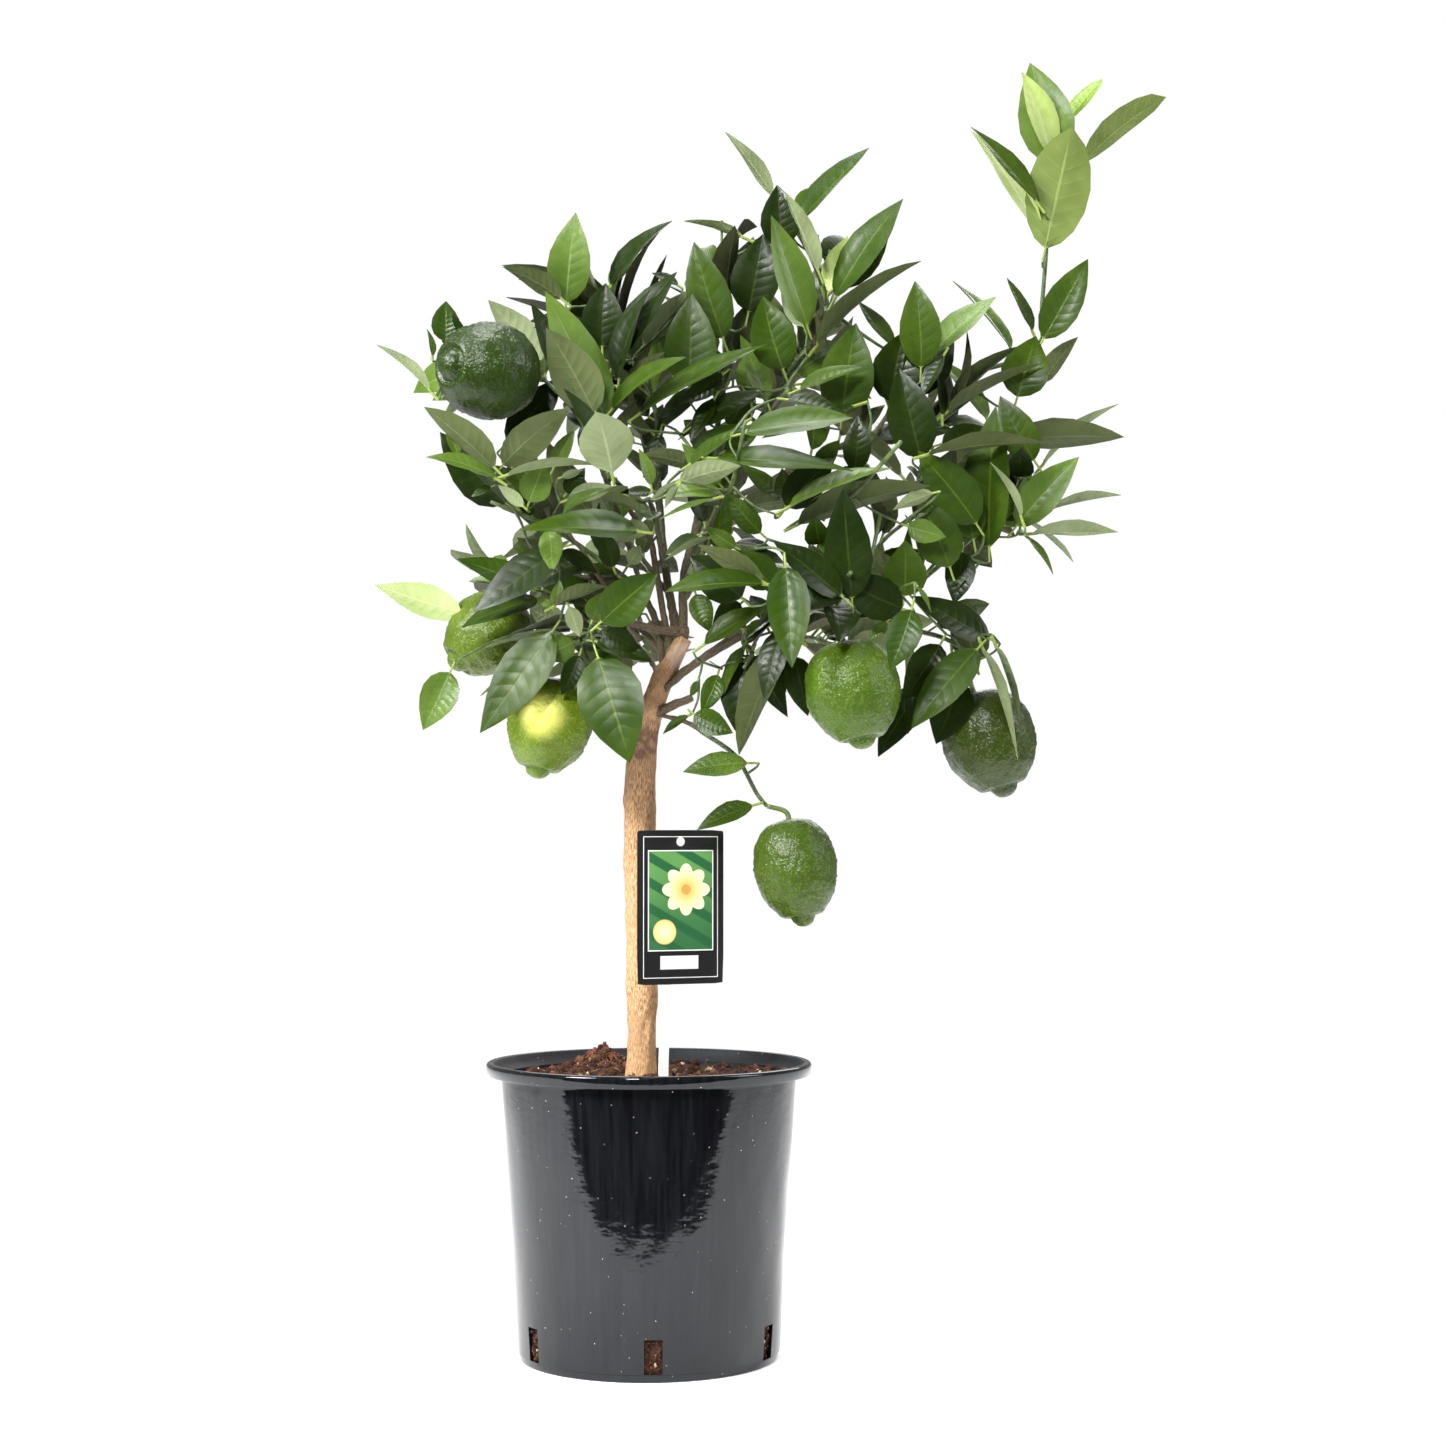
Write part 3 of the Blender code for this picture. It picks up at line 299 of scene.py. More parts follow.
def makeCamera():
    data = bpy.data.cameras.new("camera")
    data.lens, data.sensor_width, data.clip_end = cameraView["lens"], cameraView["sensor"], 60.0
    camera = added("camera", data)
    camera.location = cameraView["place"]
    camera.rotation_euler = (math.pi / 2 + pitch, 0, 0)
    bpy.context.scene.camera = camera


def seenPoint(x, y, depth):
    # the place in metres that a pixel of the frame shows at a depth in millimetres: eye + ray times a share
    right, over = (x - frameMiddle) / focal, (frameMiddle - y) / focal
    ray = np.array((right, math.cos(pitch) - over * math.sin(pitch), math.sin(pitch) + over * math.cos(pitch)))
    return eye + ray * (depth / 1000.0 - eye[1]) / ray[1]


def seenPixels(points):
    # the other way: where places show in the frame
    away = points - eye
    far = away[:, 1] * math.cos(pitch) + away[:, 2] * math.sin(pitch)
    high = away[:, 2] * math.cos(pitch) - away[:, 1] * math.sin(pitch)
    return np.stack((frameMiddle + focal * away[:, 0] / far, frameMiddle - focal * high / far), 1)


makeCamera()


# studio: white surroundings, soft boxes at both sides, and a white table whose front edge shows in the pot

studio = {
    "white": 0.31, "front": 0.03, "overhead": 0.12, "below": 0.02, "aim": (0.05, 0.0, 0.45),
    "tableFront": -0.40, "tableSide": 3.0, "floorEdge": 9.0, "domeRadius": 8.5,
    "floorColour": (0.90, 0.90, 0.90), "floorGlow": 0.42, "glowFrom": (0.5, 2.2),
    "boxes": {  # place, size, watts
        "key": ((-1.7, -1.25, 1.8), (0.7, 0.9), 112.0),
        "front": ((-0.35, -1.9, 1.45), (0.3, 0.3), 42.0),
        "right": ((1.8, -0.4, 1.3), (0.7, 1.2), 18.0),
        "back": ((0.3, 1.7, 1.6), (1.8, 1.2), 30.0),
        "top": ((0.0, 0.1, 2.2), (0.9, 0.9), 30.0),
    },
}


def makeWorld():
    # strength = the lighter of the two: dark in front to white behind, and overhead; nearly none below the table
    world = bpy.data.worlds.new("studio")
    world.use_nodes = True
    f = Steps(world.node_tree)
    parts = f.split(f.node("ShaderNodeTexCoord").outputs["Generated"])
    front = f.grey(parts["Y"], -0.55, 0.0, studio["front"], studio["white"])
    overhead = f.grey(parts["Z"], 0.45, 0.9, 0.0, studio["overhead"])
    ground = f.grey(parts["Z"], -0.04, -0.01, studio["below"], 1.0)
    background = f.tree.nodes["Background"].inputs
    f.put(f.times(f.math("MAXIMUM", front, overhead), ground), background["Strength"])
    f.put((1.0, 1.0, 1.0), background["Color"])
    bpy.context.scene.world = world


def makeLights():
    for name, (place, size, watts) in studio["boxes"].items():
        data = bpy.data.lights.new(name + "Box", "AREA")
        data.shape, data.energy = "RECTANGLE", watts
        data.size, data.size_y = size
        light = added(name + "Box", data)
        light.location = place
        light.rotation_euler = (Vector(studio["aim"]) - Vector(place)).to_track_quat("-Z", "Y").to_euler()
        light.visible_camera = False


def makeFloor():
    # white near the pot and glowing further out, in four flat sheets: the table, and the floor in front and beside it
    f = Finish("paleFloor", 0.6, 0.1, Emission_Color=(1.0, 1.0, 1.0))
    away, (near, far) = f.vector("LENGTH", f.place()), studio["glowFrom"]
    f.put(f.grey(away, near, far, studio["floorGlow"], 1.0), f.shader.inputs["Emission Strength"])
    f.colour(f.mix(f.grey(away, near, far), studio["floorColour"], (0.0, 0.0, 0.0)))
    front, side, edge = studio["tableFront"], studio["tableSide"], studio["floorEdge"]
    sheets = {"tableTop": (-side, side, front, edge), "floor1": (-edge, edge, -edge, front),
              "floor2": (-edge, -side, front, edge), "floor3": (side, edge, front, edge)}
    for name, (left, right, low, high) in sheets.items():
        corners = np.array([(left, low, 0), (right, low, 0), (right, high, 0), (left, high, 0)], float)
        sheet = newPiece(name, corners, [np.array([[0, 1, 2, 3]])], [f.material], smooth=False)
        sheet.visible_glossy = name == "tableTop"  # so that the pot mirrors the table's edge and the dark beyond it


def turnedGrid(profile, sides):
    # point = (r cos a, r sin a, z) for each place on the profile and each turn
    a = turnsOf(sides)
    r, z = profile[:, 0][:, None], profile[:, 1][:, None]
    return np.stack((r * np.cos(a), r * np.sin(a), z + 0 * a), -1)


def makeBackdrop():
    # a white dome that only the camera sees: a turned quarter circle
    white = Finish("backdropWhite")
    white.put(white.node("ShaderNodeEmission").outputs[0], white.tree.nodes["Material Output"].inputs["Surface"])
    rise = np.linspace(-0.05, math.pi / 2, 17)
    grid = turnedGrid(circle(rise) * studio["domeRadius"], 64)
    quads, _ = ringFaces(1, *grid.shape[:2])
    dome = newPiece("backdrop", grid.reshape(-1, 3), [quads[:, ::-1]], [white.material])
    for ray in ("diffuse", "glossy", "transmission", "shadow", "volume_scatter"):
        setattr(dome, "visible_" + ray, False)


makeWorld()
makeLights()
makeFloor()
makeBackdrop()
bpy.context.scene.view_settings.view_transform = "Standard"
print("studio ready")


# pot: a turned wall with a rolled lip, six slots near the foot, and the slight waves of moulded plastic

pot = {
    "height": 0.2045, "bottomRadius": 0.0906, "wallTopRadius": 0.1030, "lipRadius": 0.1138,
    "lipHeight": 0.0085, "lipWidth": 0.0052, "lipRoll": 0.0022, "wall": 0.0016, "floor": 0.0025,
    "footHeight": 0.005, "footStep": 0.0008, "sides": 240,
    "slots": 6, "slotTurn": 3.5, "slotWidth": 0.0123, "slotLow": 0.006, "slotHigh": 0.029, "slotDeep": 0.012,
    "waveHeight": 0.00014, "waveLength": 0.021, "waveStretch": 0.5, "wavesFrom": (0.004, 0.192), "sharp": 38,
}


def potProfile():
    # (radius, height) from the middle of the inner floor up the inside, over the lip and down to the foot
    p = pot
    top, lip, low = p["height"], p["lipRadius"], p["height"] - p["lipHeight"]
    bottom, shoulder, foot = p["bottomRadius"], p["wallTopRadius"], p["footHeight"]
    inBottom, mouth, roll = bottom - p["wall"], lip - p["lipWidth"], p["lipRoll"]
    wallUp, wallDown = np.linspace(0, 1, 24)[:, None], np.linspace(0, 1, 44)[:, None]
    wallTop, wallFoot = np.array((shoulder, low - 0.0030)), np.array((bottom + p["footStep"], foot + 0.0006))
    return np.vstack((
        [(0.0008, p["floor"]), (inBottom * 0.5, p["floor"]), (inBottom - 0.001, p["floor"])],
        np.array((inBottom, p["floor"])) * (1 - wallUp) + np.array((shoulder - p["wall"], low)) * wallUp,
        [(mouth - 0.0012, top - 0.0034), (mouth - 0.0002, top - 0.0007), (mouth + 0.0008, top)],
        np.array((lip - roll, top - roll)) + roll * circle(np.radians(np.linspace(90, -10, 9))),
        [(lip - 0.0004, low + 0.0009), (lip - 0.0011, low + 0.0001), (lip - 0.0022, low + 0.0002),
         (lip - 0.0030, low + 0.0012), (shoulder + 0.0020, low + 0.0014), (shoulder + 0.0006, low + 0.0006),
         (shoulder + 0.0001, low - 0.0014)],
        wallTop * (1 - wallDown) + wallFoot * wallDown,
        [(bottom + 0.0001, foot + 0.0002), (bottom, foot - 0.0004), (bottom - 0.0003, 0.0022),
         (bottom - 0.0009, 0.0006), (bottom - 0.0020, 0.0), (bottom * 0.5, 0.0), (0.0008, 0.0)],
    ))


def potFinish():
    f = Finish("blackPlastic", 0.10, 0.42, Specular_Tint=(0.93, 0.95, 1.0))
    where = f.place()
    few = f.math("GREATER_THAN", f.noise(f.place(move=(3, 1, 2)), 400.0, 0.0), 0.53)
    dust = f.times(f.math("LESS_THAN", f.cells(where, 215.0), 0.058), few)
    scuffed = f.grey(f.noise(where, 22.0, 6.0, 0.7), 0.45, 0.8, 0.07, 0.17)
    facing = f.vector("DOT_PRODUCT", f.node("ShaderNodeTexCoord").outputs["Normal"], f.place(scale=(1, 1, 0)))
    inside = f.grey(facing, -0.02, -0.06)  # faces that look at the middle of the pot
    f.rough(f.plus(scuffed, f.times(inside, 0.55)))
    streaks = f.noise(f.place(scale=(1, 1, 0.03)), 300.0, 3.0)
    streaks = f.ramp(streaks, (0.35, (0.003, 0.003, 0.004)), (0.75, (0.008, 0.009, 0.010)))
    f.colour(f.mix(dust, streaks, (0.85, 0.84, 0.82)))
    f.bump(f.noise(f.place(scale=(1, 1, 0.45)), 95.0, 2.0), 0.0006, 0.22)
    f.bump(f.noise(f.place(scale=(1, 1, 2.0)), 110.0, 1.0, 0.5), 0.0006, 0.15)
    f.bump(f.noise(where, 420.0, 2.0), 0.0002, 0.12)
    return f.material


def makePot():
    # the profile turned, pushed in and out a little between foot and lip, and cut by one block for each slot
    grid = turnedGrid(potProfile(), pot["sides"])
    outward = unit(grid * (1, 1, 0))
    low, high = pot["wavesFrom"]
    wallOnly = ((grid[..., 2] > low) & (grid[..., 2] < high))[..., None]
    wavy = ripple(grid * (1, 1, pot["waveStretch"]), 3, pot["waveLength"])
    grid = grid + outward * wallOnly * (pot["waveHeight"] * wavy[..., None])
    quads, caps = ringFaces(1, len(grid), pot["sides"])
    piece = newPiece("nurseryPot", grid.reshape(-1, 3), [quads[:, ::-1], caps[:, ::-1]], [potFinish()])
    low, high, radius, cutters = pot["slotLow"], pot["slotHigh"], pot["bottomRadius"], []
    for k in range(pot["slots"]):
        turn = math.radians(pot["slotTurn"] + 360.0 / pot["slots"] * k)
        bpy.ops.mesh.primitive_cube_add(size=1.0)
        cutter = bpy.context.object
        cutter.scale = (pot["slotWidth"], pot["slotDeep"], high - low)
        cutter.location = (radius * math.sin(turn), -radius * math.cos(turn), (low + high) / 2)
        cutter.rotation_euler = (0, 0, turn)
        cut = piece.modifiers.new("slot", "BOOLEAN")
        cut.operation, cut.object, cut.solver = "DIFFERENCE", cutter, "EXACT"
        cutters.append(cutter)
    mesh = bpy.data.meshes.new_from_object(piece.evaluated_get(bpy.context.evaluated_depsgraph_get()))
    piece.modifiers.clear()
    piece.data = mesh
    for cutter in cutters:
        bpy.data.objects.remove(cutter, do_unlink=True)
    piece.data.set_sharp_from_angle(angle=math.radians(pot["sharp"]))
    settle(piece, "pot_plastic", "pot")


makePot()
print("pot made")


# soil: an uneven fibrous plug, crumbs and fibres lying on it, and one reddish mound at the back left

soil = {
    "level": 0.194, "edgeDrop": 0.004, "flatRadius": 0.034, "trunkAt": -0.0055, "trunkClear": 0.0125,
    "mound": (-0.036, 0.066), "moundRadius": 0.024, "moundHeight": 0.011,
    "bumps": ((0.0016, 0.060, 12), (0.0011, 0.018, 12), (0.0007, 0.006, 12), (0.0004, 0.0025, 20)),  # height, length
    "calm": 0.25, "calmEdge": 0.03, "rimFrom": 0.93, "rimRough": 0.6, "turns": 300, "rings": 110, "sideRings": 46,
    "litterFrom": (0.012, 0.93), "moundSpread": (0.013, 0.010), "seed": 5,
    "crumbs": 1500, "crumbSize": (0.0008, 0.0034), "fewLarge": 3.2, "sunk": 0.25,
    "slotSpread": 0.07, "slotDepth": (0.0002, 0.0030), "slotSize": (0.0006, 0.0018),
    "fibres": 520, "fibreLength": (0.006, 0.019), "fibreReach": 0.0985, "fibreBend": 0.9,
    "fibreRadius": (0.00018, 0.00042), "fibreLift": 0.003, "fibreTilt": (-0.0008, 0.0016),
}
# dark and light colour, share of all that lie there, and share of these that lie at the mound
crumbKinds = {
    "crumbsDark": ((0.012, 0.006, 0.004), (0.075, 0.030, 0.016), 0.62, 0.06),
    "crumbsRed": ((0.050, 0.020, 0.011), (0.150, 0.062, 0.034), 0.26, 0.45),
    "crumbsPale": ((0.30, 0.19, 0.11), (0.62, 0.50, 0.36), 0.07, 0.10),
}
fibreKinds = {
    "fibresDark": ((0.030, 0.013, 0.007), (0.11, 0.048, 0.026), 0.55, 0.10),
    "fibresRed": ((0.14, 0.048, 0.024), (0.34, 0.15, 0.085), 0.45, 0.50),
}


def soilTop(x, y):
    # level + long waves + lumps of three sizes, flat round the trunk, with one mound
    points = np.stack((x, y, 0 * x), -1)
    out = np.clip((np.hypot(x - soil["trunkAt"], y) - soil["flatRadius"] * 0.5) / soil["calmEdge"], 0, 1)
    rough = sum(high * ripple(points, 11 + k, long, terms) for k, (high, long, terms) in enumerate(soil["bumps"]))
    away = np.hypot(x - soil["mound"][0], y - soil["mound"][1]) / soil["moundRadius"]
    calm = soil["calm"] + (1 - soil["calm"]) * out
    return soil["level"] + calm * rough + soil["moundHeight"] * np.exp(-2 * away**2)


def innerRadius(z):
    # the inside of the wall: straight from its foot to below the lip
    share = (z - pot["floor"]) / (pot["height"] - pot["lipHeight"] - pot["floor"])
    narrow = pot["bottomRadius"] - pot["wall"]
    return narrow + share * (pot["wallTopRadius"] - pot["wall"] - narrow)


def soilFinish():
    f = Finish("peat", 0.92, 0.25)
    where = f.place()
    brown = f.ramp(f.noise(where, 260.0, 6.0, 0.7), (0.34, (0.006, 0.003, 0.002)), (0.52, (0.034, 0.016, 0.008)),
                   (0.68, (0.125, 0.064, 0.033)), (0.84, (0.30, 0.19, 0.11)))
    f.colour(f.mix(f.grey(f.noise(where, 34.0, 3.0), 0.42, 0.62, 0.0, 0.30), brown, (0.105, 0.040, 0.020)))
    f.bump(f.noise(where, 700.0, 5.0, 0.7), 0.0014, 0.9)
    return f.material


def mottled(name, dark, light, roughness, patches, grain, depth, specular=0.5):
    # two tones in soft patches, and a fine grain
    f = Finish(name, roughness, specular)
    f.colour(f.ramp(f.noise(f.place(), patches, 3.0), (0.35, dark), (0.65, light)))
    f.bump(f.noise(f.place(), *grain), 0.0003, depth)
    return f.material


def makeSoil():
    # rings from the middle out over the top, whose last ones sink to the wall, and then down inside the pot
    edge = soil["level"] - soil["edgeDrop"]
    a = turnsOf(soil["turns"])
    rings = np.sqrt(np.linspace(0.0001, 1, soil["rings"]))
    r = (rings * (innerRadius(edge) - 0.0004))[:, None]
    x, y = r * np.cos(a), r * np.sin(a)
    z = soilTop(x, y)
    rim = np.clip((rings - soil["rimFrom"]) / (1 - soil["rimFrom"]), 0, 1)[:, None]
    z = z * (1 - rim) + (edge + soil["rimRough"] * (z - soil["level"])) * rim
    down = np.linspace(edge, pot["floor"] + 0.0006, soil["sideRings"])[1:, None]
    rough = np.stack((np.cos(a) + 0 * down, np.sin(a) + 0 * down, 0 * a + down / 0.09), -1)
    wallR = innerRadius(down) - (0.0007 + 0.0006 * np.clip(1 + ripple(rough * 0.09, 21, 0.007), 0, 2))
    side = np.stack((wallR * np.cos(a), wallR * np.sin(a), down + 0 * a), -1)
    grid = np.concatenate((np.stack((x, y, z), -1), side, side[-1:] * (0.02, 0.02, 1)))
    quads, caps = ringFaces(1, len(grid), soil["turns"])
    piece = newPiece("soilBed", grid.reshape(-1, 3), [quads[:, ::-1], caps[:, ::-1]], [soilFinish()])
    settle(piece, "peat_soil", "soil")


def onSoil(rng, count, nearMound):
    # places spread evenly over the top, some of them moved to the mound, and none at the trunk
    r = np.sqrt(rng.uniform(*soil["litterFrom"], count)) * innerRadius(soil["level"])
    a = rng.uniform(0, 2 * math.pi, count)
    some = rng.random(count) < nearMound
    (moundX, moundY), (wideX, wideY) = soil["mound"], soil["moundSpread"]
    x = np.where(some, moundX + rng.normal(0, wideX, count), r * np.cos(a))
    y = np.where(some, moundY + rng.normal(0, wideY, count), r * np.sin(a))
    away = np.hypot(x - soil["trunkAt"], y) > soil["trunkClear"]
    return x[away], y[away]


def lumps(places, sizes, seed):
    # small blobs: a 6 by 4 ball whose points are pushed in and out at random, one array for all
    rng, n = np.random.default_rng(seed), len(places)
    rise = np.radians((-62, -18, 24, 66))
    ball = turnedGrid(circle(rise), 6)
    shape = ball[None] * rng.uniform(0.65, 1.35, (n, 4, 6, 1)) * rng.uniform(0.6, 1.3, (n, 1, 1, 3))
    return (places[:, None, None] + shape * sizes[:, None, None, None]).reshape(-1, 3), list(ringFaces(n, 4, 6))


def crumbs(rng, count, nearMound, seed):
    # lumps on the top, and a third as many that fill the pot's slots from inside
    x, y = onSoil(rng, count, nearMound)
    low, high = soil["crumbSize"]
    sizes = low + (high - low) * rng.random(len(x)) ** soil["fewLarge"]
    places = np.stack((x, y, soilTop(x, y) + sizes * soil["sunk"]), -1)
    slots, n = pot["slots"], len(x) // 3
    turn = np.radians(pot["slotTurn"] + 360.0 / slots * rng.integers(0, slots, n) - 90)
    turn = turn + rng.uniform(-soil["slotSpread"], soil["slotSpread"], n)
    z = rng.uniform(pot["slotLow"], pot["slotHigh"], n)
    r = innerRadius(z) - rng.uniform(*soil["slotDepth"], n)
    places = np.vstack((places, np.stack((r * np.cos(turn), r * np.sin(turn), z), -1)))
    low, high = soil["slotSize"]
    return lumps(places, np.concatenate((sizes, low + (high - low) * rng.random(n) ** 2)), seed)


def fibres(rng, count, nearMound):
    # curved threads that lie on the top and lift a little between their ends
    x, y = onSoil(rng, count, nearMound)
    n, t = len(x), np.linspace(-1, 1, 6)
    half = rng.uniform(*soil["fibreLength"], n) / 2
    turn = rng.uniform(0, 2 * math.pi, (n, 1)) + rng.uniform(-soil["fibreBend"], soil["fibreBend"], (n, 1)) * t
    px = x[:, None] + half[:, None] * t * np.cos(turn)
    py = y[:, None] + half[:, None] * t * np.sin(turn)
    inside = np.minimum(1.0, soil["fibreReach"] / np.hypot(px, py))
    px, py = px * inside, py * inside
    lift = rng.uniform(0.0, soil["fibreLift"], (n, 1)) * (1 - t**2) + rng.uniform(*soil["fibreTilt"], (n, 1)) * t
    paths = np.stack((px, py, soilTop(px, py) + 0.0002 + lift), -1)
    radii = rng.uniform(*soil["fibreRadius"], (n, 1)) * np.array((0.35, 0.9, 1.0, 1.0, 0.8, 0.3))
    return joined([tubes(paths, radii, 4)])[:2]


def makeLitter():
    rng, made = np.random.default_rng(soil["seed"]), {}
    for k, (name, (_, _, share, nearMound)) in enumerate(crumbKinds.items()):
        made[name] = crumbs(rng, int(soil["crumbs"] * share), nearMound, 40 + k)
    for name, (_, _, share, nearMound) in fibreKinds.items():
        made[name] = fibres(rng, int(soil["fibres"] * share), nearMound)
    for name, (points, faces) in made.items():
        dark, light, _, _ = {**crumbKinds, **fibreKinds}[name]
        finish = mottled(name, dark, light, 0.9, 190.0, (1500.0, 3.0), 0.6, 0.25)
        settle(newPiece(name, points, faces, [finish]), "peat_soil", "soil")


makeSoil()
makeLitter()
print("soil made")


# label: a black card with a thin frame line and a coloured panel, punched, on a white stick

label = {
    "width": 0.0645, "height": 0.106, "thickness": 0.0008, "corner": 0.0022, "holeRadius": 0.0032,
    "holeDown": 0.008, "centre": (0.0225, -0.036, 0.3135), "yaw": 24.0, "turns": 96,
}


def cardFinish():
    # u runs across the card and v up it, both in millimetres from its middle
    f = Finish("labelPrint", 0.28, Coat_Weight=0.3, Coat_Roughness=0.15)
    parts = f.split(f.surface())
    u, v = parts["X"], parts["Y"]

    def inside(value, middle, half, soft=0.12):
        return f.grey(f.math("ABSOLUTE", f.minus(value, middle)), half + soft, half - soft)

    def block(middleV, halfU, halfV, middleU=0.0):
        return f.times(inside(u, middleU, halfU), inside(v, middleV, halfV))

    def awayFrom(middleU, middleV):
        du, dv = f.minus(u, middleU), f.minus(v, middleV)
        return du, dv, f.math("SQRT", f.plus(f.times(du, du), f.times(dv, dv)))

    black, line, paper = (0.012, 0.012, 0.012), (0.75, 0.75, 0.74), (0.80, 0.79, 0.76)
    card = f.mix(block(0, 27.9, 48.6), black, line)
    card = f.mix(block(0, 27.4, 48.1), card, black)
    # the panel: a green ground with slanting darker bands, one lobed peach flower and a smaller round one
    picture = f.ramp(f.grey(v, -28.0, 38.0), (0.0, (0.030, 0.13, 0.045)), (1.0, (0.10, 0.26, 0.07)))
    slant = f.math("SINE", f.times(f.plus(v, f.times(u, 0.55)), 0.36))
    picture = f.mix(f.grey(slant, 0.1, 0.5), picture, (0.018, 0.10, 0.035))
    du, dv, away = awayFrom(4.0, 12.0)
    lobes = f.math("ABSOLUTE", f.math("COSINE", f.times(f.math("ARCTAN2", dv, du), 4.0)))
    petals = f.ramp(f.grey(away, 3.0, 17.5), (0.0, (0.86, 0.46, 0.14)), (0.45, (0.90, 0.62, 0.30)),
                    (1.0, (0.93, 0.76, 0.47)))
    picture = f.mix(f.grey(f.minus(away, f.times(lobes, 5.0)), 13.2, 12.4), picture, petals)
    picture = f.mix(f.grey(away, 3.9, 3.3), picture, (0.52, 0.28, 0.07))
    away = awayFrom(-12.0, -17.0)[2]
    small = f.ramp(f.grey(away, 0.0, 8.5), (0.0, (0.93, 0.75, 0.45)), (1.0, (0.85, 0.53, 0.20)))
    picture = f.mix(f.grey(away, 8.9, 8.1), picture, small)
    card = f.mix(block(4.5, 24.4, 34.6), card, paper)
    card = f.mix(block(4.5, 23.7, 33.9), card, picture)
    f.colour(f.mix(block(-38.0, 14.2, 4.6, middleU=-1.0), card, (0.70, 0.70, 0.69)))
    f.bump(f.noise(f.place(), 900.0, 2.0), 0.0001, 0.06)
    return f.material


def makeCard():
    # point = hole edge (1 - k) + outline k for each turn round the hole; front and back sheets share their rims
    p = label
    a = turnsOf(p["turns"])
    half = np.array((p["width"] / 2, p["height"] / 2))
    holeY = half[1] - p["holeDown"]
    hole = np.array((0, holeY)) + p["holeRadius"] * circle(a)
    corners = np.array(((1, 1), (-1, 1), (-1, -1), (1, -1))) * half - (0, holeY)
    for turn in np.arctan2(corners[:, 1], corners[:, 0]) % (2 * math.pi):
        a[np.argmin(np.abs((a - turn + math.pi) % (2 * math.pi) - math.pi))] = turn
    aim = circle(a)
    reachX = half[0] / np.maximum(np.abs(aim[:, 0]), 1e-6)
    reachY = (half[1] - np.sign(aim[:, 1]) * holeY) / np.maximum(np.abs(aim[:, 1]), 1e-6)
    outline = np.array((0, holeY)) + aim * np.minimum(reachX, reachY)[:, None]
    straight = half - p["corner"]
    beyond = np.maximum(np.abs(outline) - straight, 0)
    bent = beyond * p["corner"] / np.maximum(np.linalg.norm(beyond, axis=1, keepdims=True), 1e-9)
    outline = np.where((beyond > 0).all(1, keepdims=True), np.sign(outline) * (straight + bent), outline)
    k = np.array((0.0, 0.02, 0.5, 0.985, 1.0))[:, None, None]
    sheet = hole * (1 - k) + outline * k
    depth = np.array((0.5, 1.0, 1.0, 1.0, 0.5))[:, None, None] * p["thickness"] / 2
    front = np.concatenate((sheet, depth + 0 * sheet[..., :1]), -1)
    grid = np.concatenate((front, front[::-1] * (1, 1, -1)))
    ring = np.arange(len(grid))[:, None] * p["turns"] + np.arange(p["turns"])
    following = np.roll(ring, -1, 0)
    quads = np.stack((ring, following, np.roll(following, -1, 1), np.roll(ring, -1, 1)), -1).reshape(-1, 4)
    flat = grid.reshape(-1, 3)
    yaw = math.radians(p["yaw"])
    right, outOf = np.array((math.cos(yaw), math.sin(yaw), 0)), np.array((math.sin(yaw), -math.cos(yaw), 0))
    points = np.array(p["centre"]) + flat[:, :1] * right + flat[:, 1:2] * up + flat[:, 2:3] * outOf
    piece = newPiece("labelCard", points, [quads], [cardFinish()], uvSets=[flat[quads][..., :2] * 1000.0])
    piece.data.set_sharp_from_angle(angle=math.radians(40))
    settle(piece, "label_print", "label_card")


def dressStick():
    f = Finish("whiteStick", 0.35)
    f.colour(f.mix(f.grey(f.noise(f.place(), 60.0, 3.0), 0.3, 0.7), (0.92, 0.92, 0.91), (0.96, 0.96, 0.95)))
    f.bump(f.noise(f.place(scale=(1, 1, 0.1)), 700.0, 2.0), 0.0001, 0.2)
    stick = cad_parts["label_stick"]
    stick.data.materials.clear()
    stick.data.materials.append(f.material)


makeCard()
dressStick()
print("label made")


# limbs: trunk and boughs as tapering tubes with the bark's relief, on the source's lines

trunk = {
    "path": ((-0.0055, 0.0, 0.1945), (-0.0050, 0.0, 0.262), (-0.0070, 0.0, 0.340), (-0.0060, 0.0, 0.412),
             (-0.0010, 0.0, 0.443), (0.0090, 0.0, 0.472), (0.0240, 0.0, 0.502)),
    "radii": (0.0096, 0.0106, 0.0109, 0.0110, 0.0085, 0.0078, 0.0062), "rings": 15,
    "barePatch": (684, 657, -8), "fissure": 0.00028, "fineRings": 330, "fineSides": 72, "wide": 0.0105,
    # painted shade and fork bark by height: shade from the crown grows up the trunk below the fork, a darkest band
    # lies just under the fork, and the fork's own reddish-brown bark is above
    "shadeAndForkBark": ((0.28, 0.40, 0.418, 0.425, 0.433, 0.441, 0.47), (0.0, 0.40, 0.5, 1.0, 0.95, 0.5, 0.38)),  # height, dark
}
